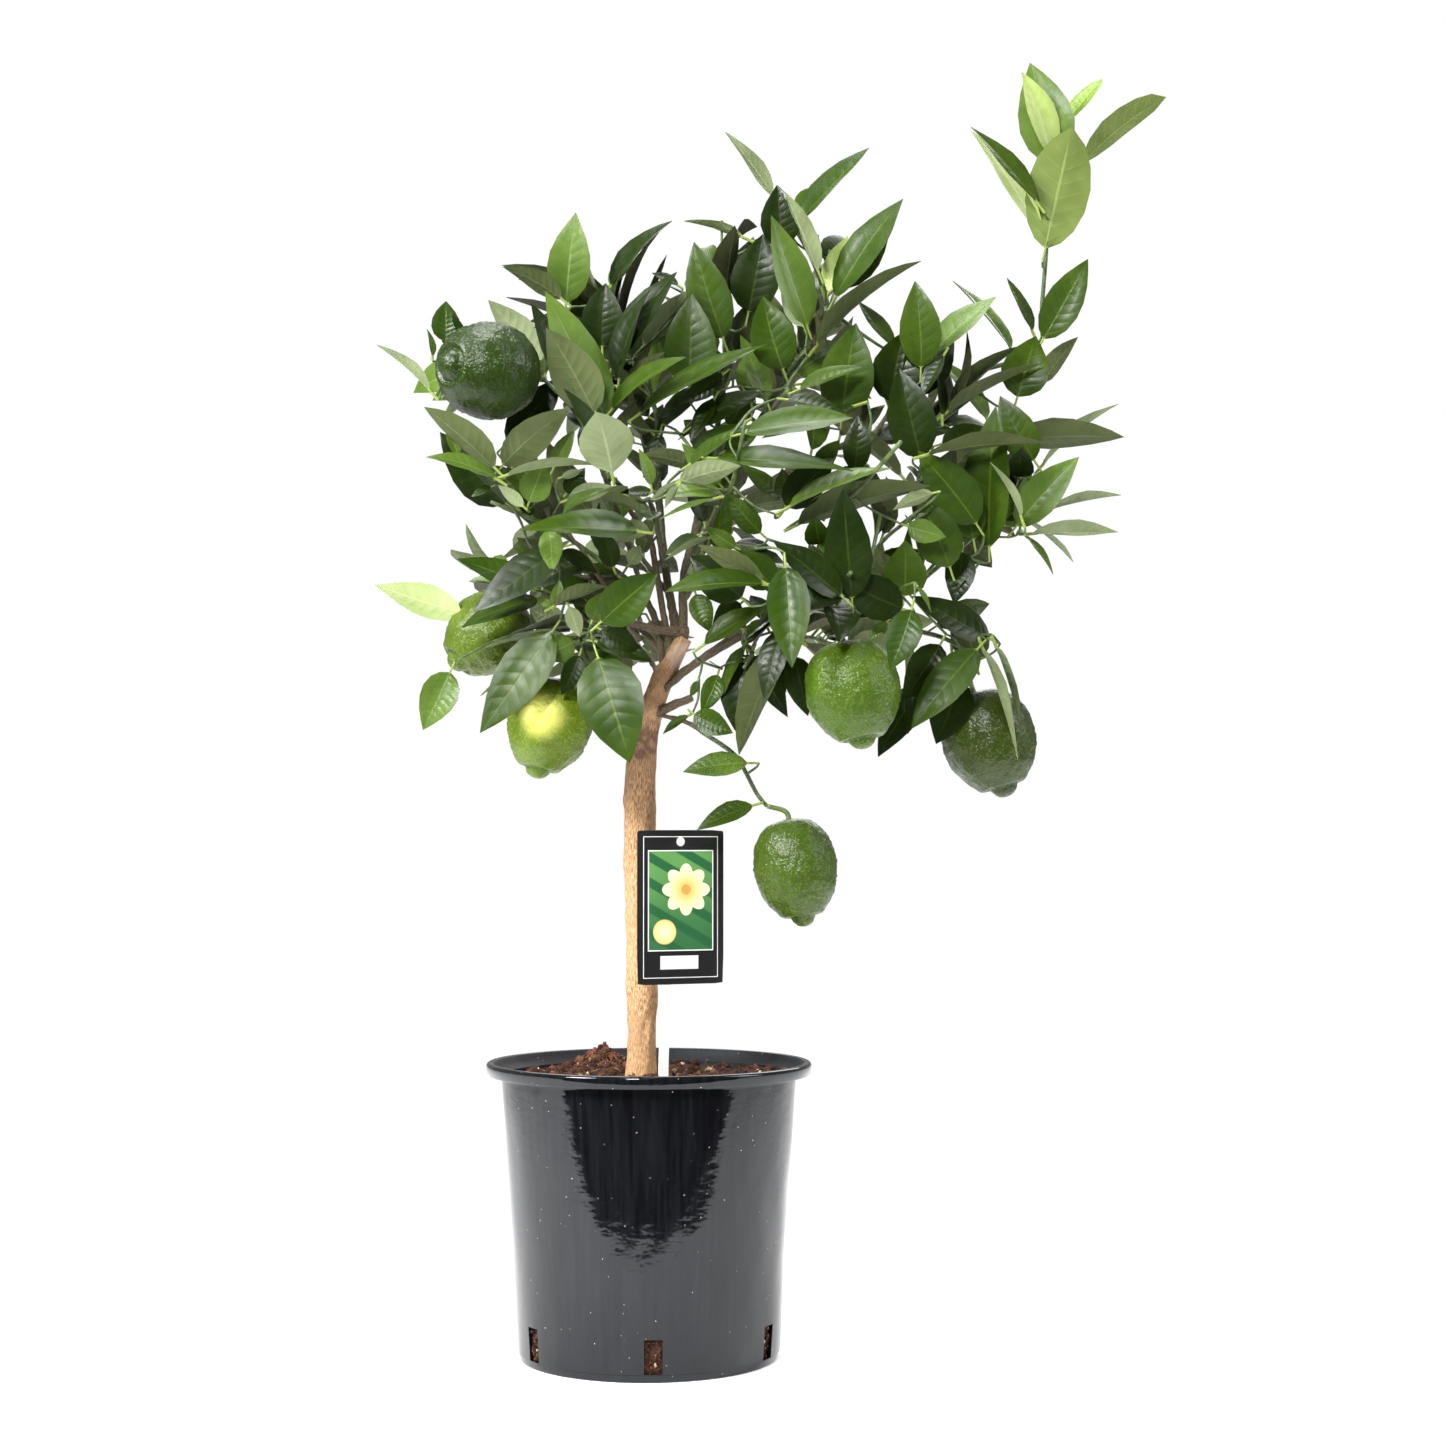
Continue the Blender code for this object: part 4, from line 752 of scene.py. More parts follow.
# each bough: the limb it leaves, how far along, a point it passes, its line's end, its radii, wood points of nine
boughs = {
    "left_leader": ("trunk", 0.97, (0.010, 0.004, 0.560), (0.002, 0.016, 0.672), 0.0046, 0.0024, 7),
    "right_leader": ("trunk", 0.985, (0.034, -0.008, 0.578), (0.122, 0.000, 0.728), 0.0048, 0.0020, 8),
    "right": ("trunk", 0.80, (0.085, -0.018, 0.514), (0.177, -0.028, 0.530), 0.0044, 0.0022, 8),
    "left": ("trunk", 0.86, (-0.004, -0.012, 0.530), (-0.066, -0.036, 0.575), 0.0040, 0.0020, 7),
    "low": ("trunk", 0.90, (-0.012, -0.008, 0.511), (-0.038, -0.020, 0.504), 0.0030, 0.0020, 6),
    "hanging": ("trunk", 0.70, (0.028, -0.018, 0.441), (0.046, -0.038, 0.427), 0.0024, 0.0017, 7),
    "top_middle": ("right_leader", 0.36, (0.050, 0.006, 0.665), (0.053, 0.004, 0.705), 0.0030, 0.0018, 6),
    "centre_low": ("right_leader", 0.20, (0.052, -0.046, 0.560), (0.068, -0.090, 0.556), 0.0026, 0.0019, 5),
    "right_middle": ("right_leader", 0.55, (0.128, -0.02, 0.632), (0.160, -0.028, 0.646), 0.0032, 0.0019, 6),
    "right_top": ("right_middle", 0.55, (0.186, 0.000, 0.645), (0.222, -0.014, 0.667), 0.0026, 0.0018, 6),
    "leader": ("right_top", 0.50, (0.205, 0.028, 0.672), (0.262, 0.014, 0.716), 0.0024, 0.0018, 7),
    "front_right": ("right_middle", 0.30, (0.130, -0.075, 0.598), (0.138, -0.098, 0.590), 0.0026, 0.0018, 5),
    "front_middle": ("right_leader", 0.30, (0.052, -0.07, 0.594), (0.058, -0.10, 0.598), 0.0026, 0.0018, 5),
    "centre_fruit": ("right", 0.56, (0.122, -0.062, 0.526), (0.131, -0.092, 0.532), 0.0028, 0.0019, 5),
    "right_fruit": ("right", 0.80, (0.182, -0.012, 0.508), (0.206, -0.022, 0.500), 0.0026, 0.0019, 5),
    "low_middle": ("right", 0.40, (0.066, -0.044, 0.496), (0.072, -0.056, 0.488), 0.0026, 0.0018, 5),
    "left_fruit": ("left", 0.62, (-0.068, -0.006, 0.545), (-0.086, 0.002, 0.540), 0.0026, 0.0018, 5),
    "left_high": ("left", 0.45, (-0.030, -0.048, 0.610), (-0.048, -0.066, 0.650), 0.0028, 0.0018, 5),
    "front_left": ("left_leader", 0.45, (0.002, -0.064, 0.590), (-0.006, -0.092, 0.588), 0.0026, 0.0018, 5),
    "back_left": ("left_leader", 0.30, (-0.016, 0.062, 0.575), (-0.040, 0.092, 0.592), 0.0028, 0.0019, 5),
    "back_high_left": ("left_leader", 0.65, (-0.01, 0.072, 0.665), (-0.02, 0.092, 0.69), 0.0026, 0.0018, 5),
    "back_middle": ("right_leader", 0.28, (0.050, 0.070, 0.590), (0.062, 0.105, 0.606), 0.0028, 0.0019, 5),
    "back_high": ("right_leader", 0.72, (0.100, 0.064, 0.690), (0.108, 0.086, 0.706), 0.0026, 0.0018, 5),
    "back_right": ("right", 0.70, (0.152, 0.055, 0.556), (0.176, 0.086, 0.586), 0.0028, 0.0019, 5),
    "back_low_right": ("right", 0.48, (0.100, 0.050, 0.505), (0.118, 0.080, 0.508), 0.0026, 0.0018, 5),
    "back_low_left": ("trunk", 0.83, (-0.004, 0.046, 0.494), (-0.018, 0.070, 0.504), 0.0028, 0.0019, 5),
}
# short wood of the fork that shows: youth, radii in mm at both ends, points (x and y in the frame, depth in mm)
sideWood = {
    "cutBough": (0.0, (3.2, 2.7), ((686, 632, -2), (660, 630, -12), (632, 623, -20))),
    "oldStub": (0.0, (3.4, 2.5), ((654, 714, -2), (676, 704, -10), (692, 698, -14))),
    "crossLimb": (0.15, (2.6, 1.5), ((658, 694, -2), (689, 669, -12), (714, 653, -18), (740, 638, -24),
                                     (780, 618, -30))),
    "leftLimb": (0.1, (2.4, 1.3), ((668, 640, -4), (655, 565, -16), (650, 540, -20), (630, 510, -26),
                                   (615, 478, -32))),
    "innerLimb": (0.1, (2.0, 1.0), ((674, 634, 0), (668, 590, 6), (658, 535, 12), (661, 500, 16))),
    "lowLimb": (0.2, (1.9, 1.1), ((640, 640, -8), (604, 584, -30), (590, 562, -34), (566, 530, -40))),
    "lowerLimb": (0.3, (1.7, 0.9), ((634, 632, -8), (603, 588, -18), (580, 565, -22), (555, 548, -26),
                                    (540, 528, -30))),
    "leftTwig": (0.7, (1.2, 0.8), ((548, 560, -40), (530, 545, -44), (520, 520, -48), (505, 500, -50),
                                   (480, 487, -52))),
    "thinLimb": (0.5, (1.3, 0.8), ((822, 520, -24), (850, 475, -36), (885, 420, -44), (900, 395, -48))),
    "thornyTwig": (0.8, (1.1, 0.8), ((704, 690, -12), (720, 682, -20), (735, 670, -26), (760, 655, -34))),
    "thornLow": (0.9, (0.7, 0.12), ((722, 680, -21), (729, 680, -24), (737, 682, -28))),
    "thornHigh": (0.9, (0.7, 0.12), ((722, 669, -18), (716, 665, -21), (709, 661, -25))),
}
boughShape = {
    "slim": 0.66, "points": 9, "fineRings": 60, "fineSides": 20, "collar": 0.55, "collarLength": 2.2,
    "relief": 0.00022, "youth": ((0.0, 0.75), (0.45, 0.9)), "ageing": 0.12,
}
bark = {
    "dark": (0.165, 0.075, 0.032), "mid": (0.55, 0.325, 0.155), "light": (0.84, 0.58, 0.33),
    # fork: the fork's reddish-brown bark, which also gives the painted shade on the trunk below the fork
    "fork": (0.085, 0.045, 0.030), "bare": (0.56, 0.40, 0.30),
}

limbPaths = {"trunk": smoothPath(trunk["path"], trunk["rings"])}
limbRadii = {"trunk": spread(trunk["radii"], trunk["rings"])}
for limbName, (parent, share, via, tip, rStart, rTip, wood) in boughs.items():
    limbPaths[limbName] = smoothPath((pointAt(limbPaths[parent], share)[0], via, tip), boughShape["points"])
    limbRadii[limbName] = np.linspace(rStart, rTip, wood)


def barkFinish():
    f = Finish("tanBark", 0.85, 0.3)
    along = f.place(scale=(1.0, 0.16, 1.0), where=f.surface())
    fissures, fine = f.noise(along, 1500.0, 4.0, 0.62), f.noise(along, 4200.0, 3.0, 0.6)
    tone = f.ramp(fissures, (0.37, bark["dark"]), (0.50, bark["mid"]), (0.64, bark["light"]))
    tone = f.mix(f.grey(fine, 0.36, 0.47), f.mix(0.55, tone, bark["dark"]), tone)
    tone = f.mix(f.grey(f.noise(f.place(), 26.0, 3.0), 0.35, 0.65, 0.0, 0.5), tone, bark["mid"])
    # the fork's dark bark, mixed in by height: painted shade from the crown below the fork, the fork's own bark above
    forkBarkAndShadeTone = f.ramp(fissures, (0.35, bark["fork"]), (0.62, tuple(c * 2.9 for c in bark["fork"])))
    tone = f.mix(f.number("forkBarkAndShade"), tone, forkBarkAndShadeTone)
    away = f.vector("DISTANCE", f.place(), tuple(seenPoint(*trunk["barePatch"])))
    patch = f.plus(away, f.times(f.noise(f.place(), 300.0, 2.0), 0.008))
    f.colour(f.mix(f.grey(patch, 0.018, 0.012, 0.0, 0.8), tone, bark["bare"]))
    f.bump(fissures, 0.0011, 0.75)
    f.bump(fine, 0.0004, 0.4)
    return f.material


def makeTrunk():
    # the source's line read finely; radius = taper + knots at the forks + fissures that run up the trunk
    rings, sides, wide = trunk["fineRings"], trunk["fineSides"], trunk["wide"]
    path, share = smoothPath(limbPaths["trunk"], rings), np.linspace(0, 1, rings)
    knots = 1 + 0.05 * np.exp(-((share - 0.72) / 0.03) ** 2) + 0.10 * np.exp(-(share / 0.02) ** 2)
    radii = spread(limbRadii["trunk"], rings) * knots
    path[0] -= up * 0.004
    grid = tubeGrid(path[None], radii[None], sides)[0]
    outward = unit(grid - path[:, None])
    wrapped = np.stack((outward[..., 0] * wide, outward[..., 1] * wide, grid[..., 2] * 0.13), -1)
    relief = 0.6 * ripple(wrapped, 31, 0.0016, 16) + ripple(wrapped * (1, 1, 2.5), 32, 0.006)
    grid = grid + outward * (relief * trunk["fissure"] + ripple(grid, 33, 0.030) * 0.0005)[..., None]
    # painted shade: how far the bark turns to the fork's dark tone at each height
    shadeAndForkBark = np.interp(grid[..., 2] + 0.008 * ripple(grid, 34, 0.012), *trunk["shadeAndForkBark"]).ravel()
    uvs = tubeUvs(path[None], np.maximum(radii[None], wide), sides)
    piece = newPiece("trunkBark", grid.reshape(-1, 3), ringFaces(1, rings, sides), [barkFinish()], uvSets=uvs,
                     numbers={"forkBarkAndShade": shadeAndForkBark})
    settle(piece, "trunk_bark", "trunk")


def boughFinish():
    f = Finish("youngBark", 0.62, 0.4)
    lines = f.noise(f.place(scale=(1.0, 0.25, 1.0), where=f.surface()), 1300.0, 3.0)
    brown = f.ramp(lines, (0.35, (0.026, 0.018, 0.010)), (0.6, (0.125, 0.084, 0.048)))
    green = f.ramp(lines, (0.35, (0.018, 0.030, 0.010)), (0.65, (0.060, 0.085, 0.028)))
    f.colour(f.mix(f.number("young"), brown, green))
    f.bump(lines, 0.0006, 0.5)
    return f.material


def boughArrays(path, radii, young):
    # a fine line, its radii with a collar at the root = r (1 + collar e^-distance), and how young the wood is
    fine, r = smoothPath(path, boughShape["fineRings"]), spread(radii, boughShape["fineRings"])
    steps = np.concatenate(([0], np.cumsum(np.linalg.norm(np.diff(fine, axis=0), axis=1))))
    collar = boughShape["collar"] * np.exp(-steps / (radii[0] * boughShape["collarLength"]))
    age = young[0] + (young[1] - young[0]) * steps / boughShape["ageing"]
    return fine, r * (1 + collar), np.clip(age, 0, 1)


def makeBoughs():
    # all boughs and the side wood as one piece: fine tubes, pushed in and out a little
    lines = []
    for name, (parent, *_, wood) in boughs.items():
        radii = limbRadii[name] * np.linspace(boughShape["slim"], 1.0, wood)
        lines.append(boughArrays(limbPaths[name][:wood], radii, boughShape["youth"][parent != "trunk"]))
    for age, ends, points in sideWood.values():
        path = smoothPath([seenPoint(*point) for point in points], boughShape["fineRings"])
        lines.append(boughArrays(path, np.array(ends) / 1000.0, (age, age)))
    paths, radii, youth = (np.array(part) for part in zip(*lines))
    group = tubes(paths, radii, boughShape["fineSides"])
    grid = group["points"]
    grid = grid + unit(grid - paths[:, :, None]) * (ripple(grid, 36, 0.008) * boughShape["relief"])[..., None]
    piece = newPiece("boughBark", grid.reshape(-1, 3), group["faces"], [boughFinish()], uvSets=group["uvs"],
                     numbers={"young": np.repeat(youth, boughShape["fineSides"])})
    settle(piece, "bough_bark", *["bough_" + name for name in boughs])


makeTrunk()
makeBoughs()
print("limbs made")


# crown: the source's masses, each grown from its bough by the same rule and carried to more and finer twigs

# each mass: heart, reach, shoots, length of its leaves, seed, and where its main shoots' last leaves end
massRows = {
    "leader": ((0.281, 0.002, 0.824), (0.098, 0.08, 0.125), 0, 0.07, 1, ()),
    "right_top": ((0.25, 0.0, 0.69), (0.066, 0.06, 0.062), 5, 0.072, 2, ((0.306, 0.022, 0.722),
        (0.245, 0.03, 0.748), (0.206, -0.04, 0.655))),
    "right_tip": ((0.256, -0.026, 0.596), (0.082, 0.075, 0.068), 4, 0.074, 3, ((0.335, 0.0, 0.647),
        (0.332, 0.004, 0.604), (0.321, -0.022, 0.577), (0.281, -0.03, 0.546), (0.292, -0.07, 0.622),
        (0.232, -0.088, 0.652))),
    "right_fruit": ((0.222, -0.024, 0.49), (0.066, 0.07, 0.075), 5, 0.072, 4, ((0.178, -0.062, 0.44),
        (0.258, -0.05, 0.446))),
    "centre_fruit": ((0.136, -0.122, 0.536), (0.072, 0.072, 0.07), 5, 0.078, 5, ((0.132, -0.158, 0.514),
        (0.094, -0.146, 0.472), (0.198, -0.12, 0.556))),
    "right_middle": ((0.184, -0.034, 0.688), (0.062, 0.066, 0.062), 6, 0.076, 6, ((0.185, -0.03, 0.75),
        (0.198, -0.08, 0.684), (0.15, -0.05, 0.735))),
    "top": ((0.128, 0.0, 0.778), (0.066, 0.07, 0.074), 5, 0.076, 7, ((0.155, 0.0, 0.851), (0.178, -0.02, 0.809),
        (0.187, -0.036, 0.762), (0.086, -0.036, 0.797), (0.097, 0.006, 0.822))),
    "top_middle": ((0.05, 0.0, 0.77), (0.06, 0.07, 0.1), 6, 0.076, 8, ((0.052, 0.018, 0.871),
        (0.028, -0.036, 0.778), (0.018, 0.02, 0.806), (0.06, -0.045, 0.785))),
    "front_middle": ((0.066, -0.14, 0.632), (0.088, 0.072, 0.08), 8, 0.08, 9, ((0.06, -0.16, 0.705),
        (0.12, -0.19, 0.64), (0.015, -0.195, 0.625))),
    "centre_low": ((0.074, -0.12, 0.552), (0.066, 0.07, 0.062), 4, 0.076, 26, ((0.052, -0.17, 0.52),
        (0.098, -0.18, 0.57))),
    "top_left": ((-0.032, 0.01, 0.735), (0.08, 0.076, 0.074), 7, 0.08, 10, ((-0.054, 0.01, 0.807),
        (-0.105, 0.0, 0.767), (0.012, 0.02, 0.803), (-0.03, -0.04, 0.752))),
    "left_high": ((-0.088, -0.036, 0.694), (0.1, 0.08, 0.07), 4, 0.076, 11, ((-0.137, -0.06, 0.727),
        (-0.186, -0.056, 0.7), (-0.15, -0.11, 0.64), (-0.066, -0.12, 0.724))),
    "left": ((-0.108, -0.052, 0.592), (0.06, 0.07, 0.07), 6, 0.074, 12, ((-0.154, -0.04, 0.627),
        (-0.132, -0.066, 0.551), (-0.117, -0.09, 0.514))),
    "left_fruit": ((-0.112, 0.034, 0.548), (0.084, 0.074, 0.086), 5, 0.074, 13, ((-0.192, 0.004, 0.541),
        (-0.16, 0.006, 0.44))),
    "low_left": ((-0.066, -0.038, 0.492), (0.066, 0.066, 0.082), 5, 0.078, 14, ((-0.112, -0.074, 0.434),
        (-0.012, -0.082, 0.413))),
    "front_left": ((-0.024, -0.138, 0.6), (0.076, 0.07, 0.076), 7, 0.08, 15, ((-0.06, -0.175, 0.64),
        (-0.03, -0.19, 0.56), (-0.015, -0.16, 0.67))),
    "low_middle": ((0.066, -0.078, 0.476), (0.058, 0.062, 0.062), 5, 0.07, 16, ((0.06, -0.09, 0.424),
        (0.03, -0.06, 0.436))),
    "hanging_fruit": ((0.08, -0.044, 0.39), (0.066, 0.05, 0.07), 0, 0.045, 17, ()),
    "front_right": ((0.168, -0.14, 0.62), (0.066, 0.07, 0.066), 6, 0.078, 18, ((0.15, -0.16, 0.68),
        (0.215, -0.17, 0.6), (0.12, -0.2, 0.62))),
    "back_left": ((-0.078, 0.112, 0.6), (0.084, 0.08, 0.078), 6, 0.074, 19, ()),
    "back_high_left": ((-0.028, 0.112, 0.712), (0.08, 0.078, 0.074), 6, 0.074, 20, ()),
    "back_middle": ((0.066, 0.15, 0.622), (0.08, 0.072, 0.076), 6, 0.074, 21, ()),
    "back_high": ((0.112, 0.112, 0.73), (0.08, 0.07, 0.074), 6, 0.074, 22, ()),
    "back_right": ((0.214, 0.104, 0.612), (0.084, 0.08, 0.08), 6, 0.072, 23, ()),
    "back_low_right": ((0.142, 0.098, 0.5), (0.078, 0.072, 0.062), 5, 0.07, 24, ()),
    "back_low_left": ((-0.036, 0.094, 0.49), (0.074, 0.07, 0.06), 5, 0.07, 25, ()),
}
otherBoughs = {  # any other mass grows on the bough of its own name
    "right_tip": "right", "top": "right_leader", "top_left": "left_leader", "low_left": "low",
    "hanging_fruit": "hanging",
}
seenStems = {  # bare stems that show plainly
    "leader": ((1036, 352, 8), (1041, 320, 4), (1044, 280, 0), (1047, 240, -4), (1048, 190, -4)),
    "hanging_fruit": ((733, 753, -39), (745, 771, -40), (757, 794, -42), (767, 806, -43)),
}
masses = {}
for name, row in massRows.items():
    masses[name] = dict(zip(("heart", "reach", "shoots", "leaf", "seed", "tips"), row))
    masses[name]["bough"] = otherBoughs.get(name, name)
# each lemon hangs in the mass of the same name: its middle, the way its nipple points, width and length
lemons = {
    "right_fruit": ((0.2367, -0.028, 0.427), (0.30, -0.08, -1.0), 0.065, 0.079),
    "centre_fruit": ((0.1386, -0.100, 0.4573), (0.19, -0.12, -1.0), 0.0635, 0.076),
    "left_high": ((-0.1085, -0.088, 0.6763), (-0.68, -0.73, 0.0), 0.066, 0.077),
    "left_fruit": ((-0.115, 0.0, 0.504), (-0.62, -0.25, -0.60), 0.058, 0.070),
    "low_left": ((-0.0695, -0.020, 0.438), (-0.26, -0.10, -1.0), 0.059, 0.074),
    "hanging_fruit": ((0.1018, -0.046, 0.3383), (0.16, -0.10, -1.0), 0.057, 0.077),
}
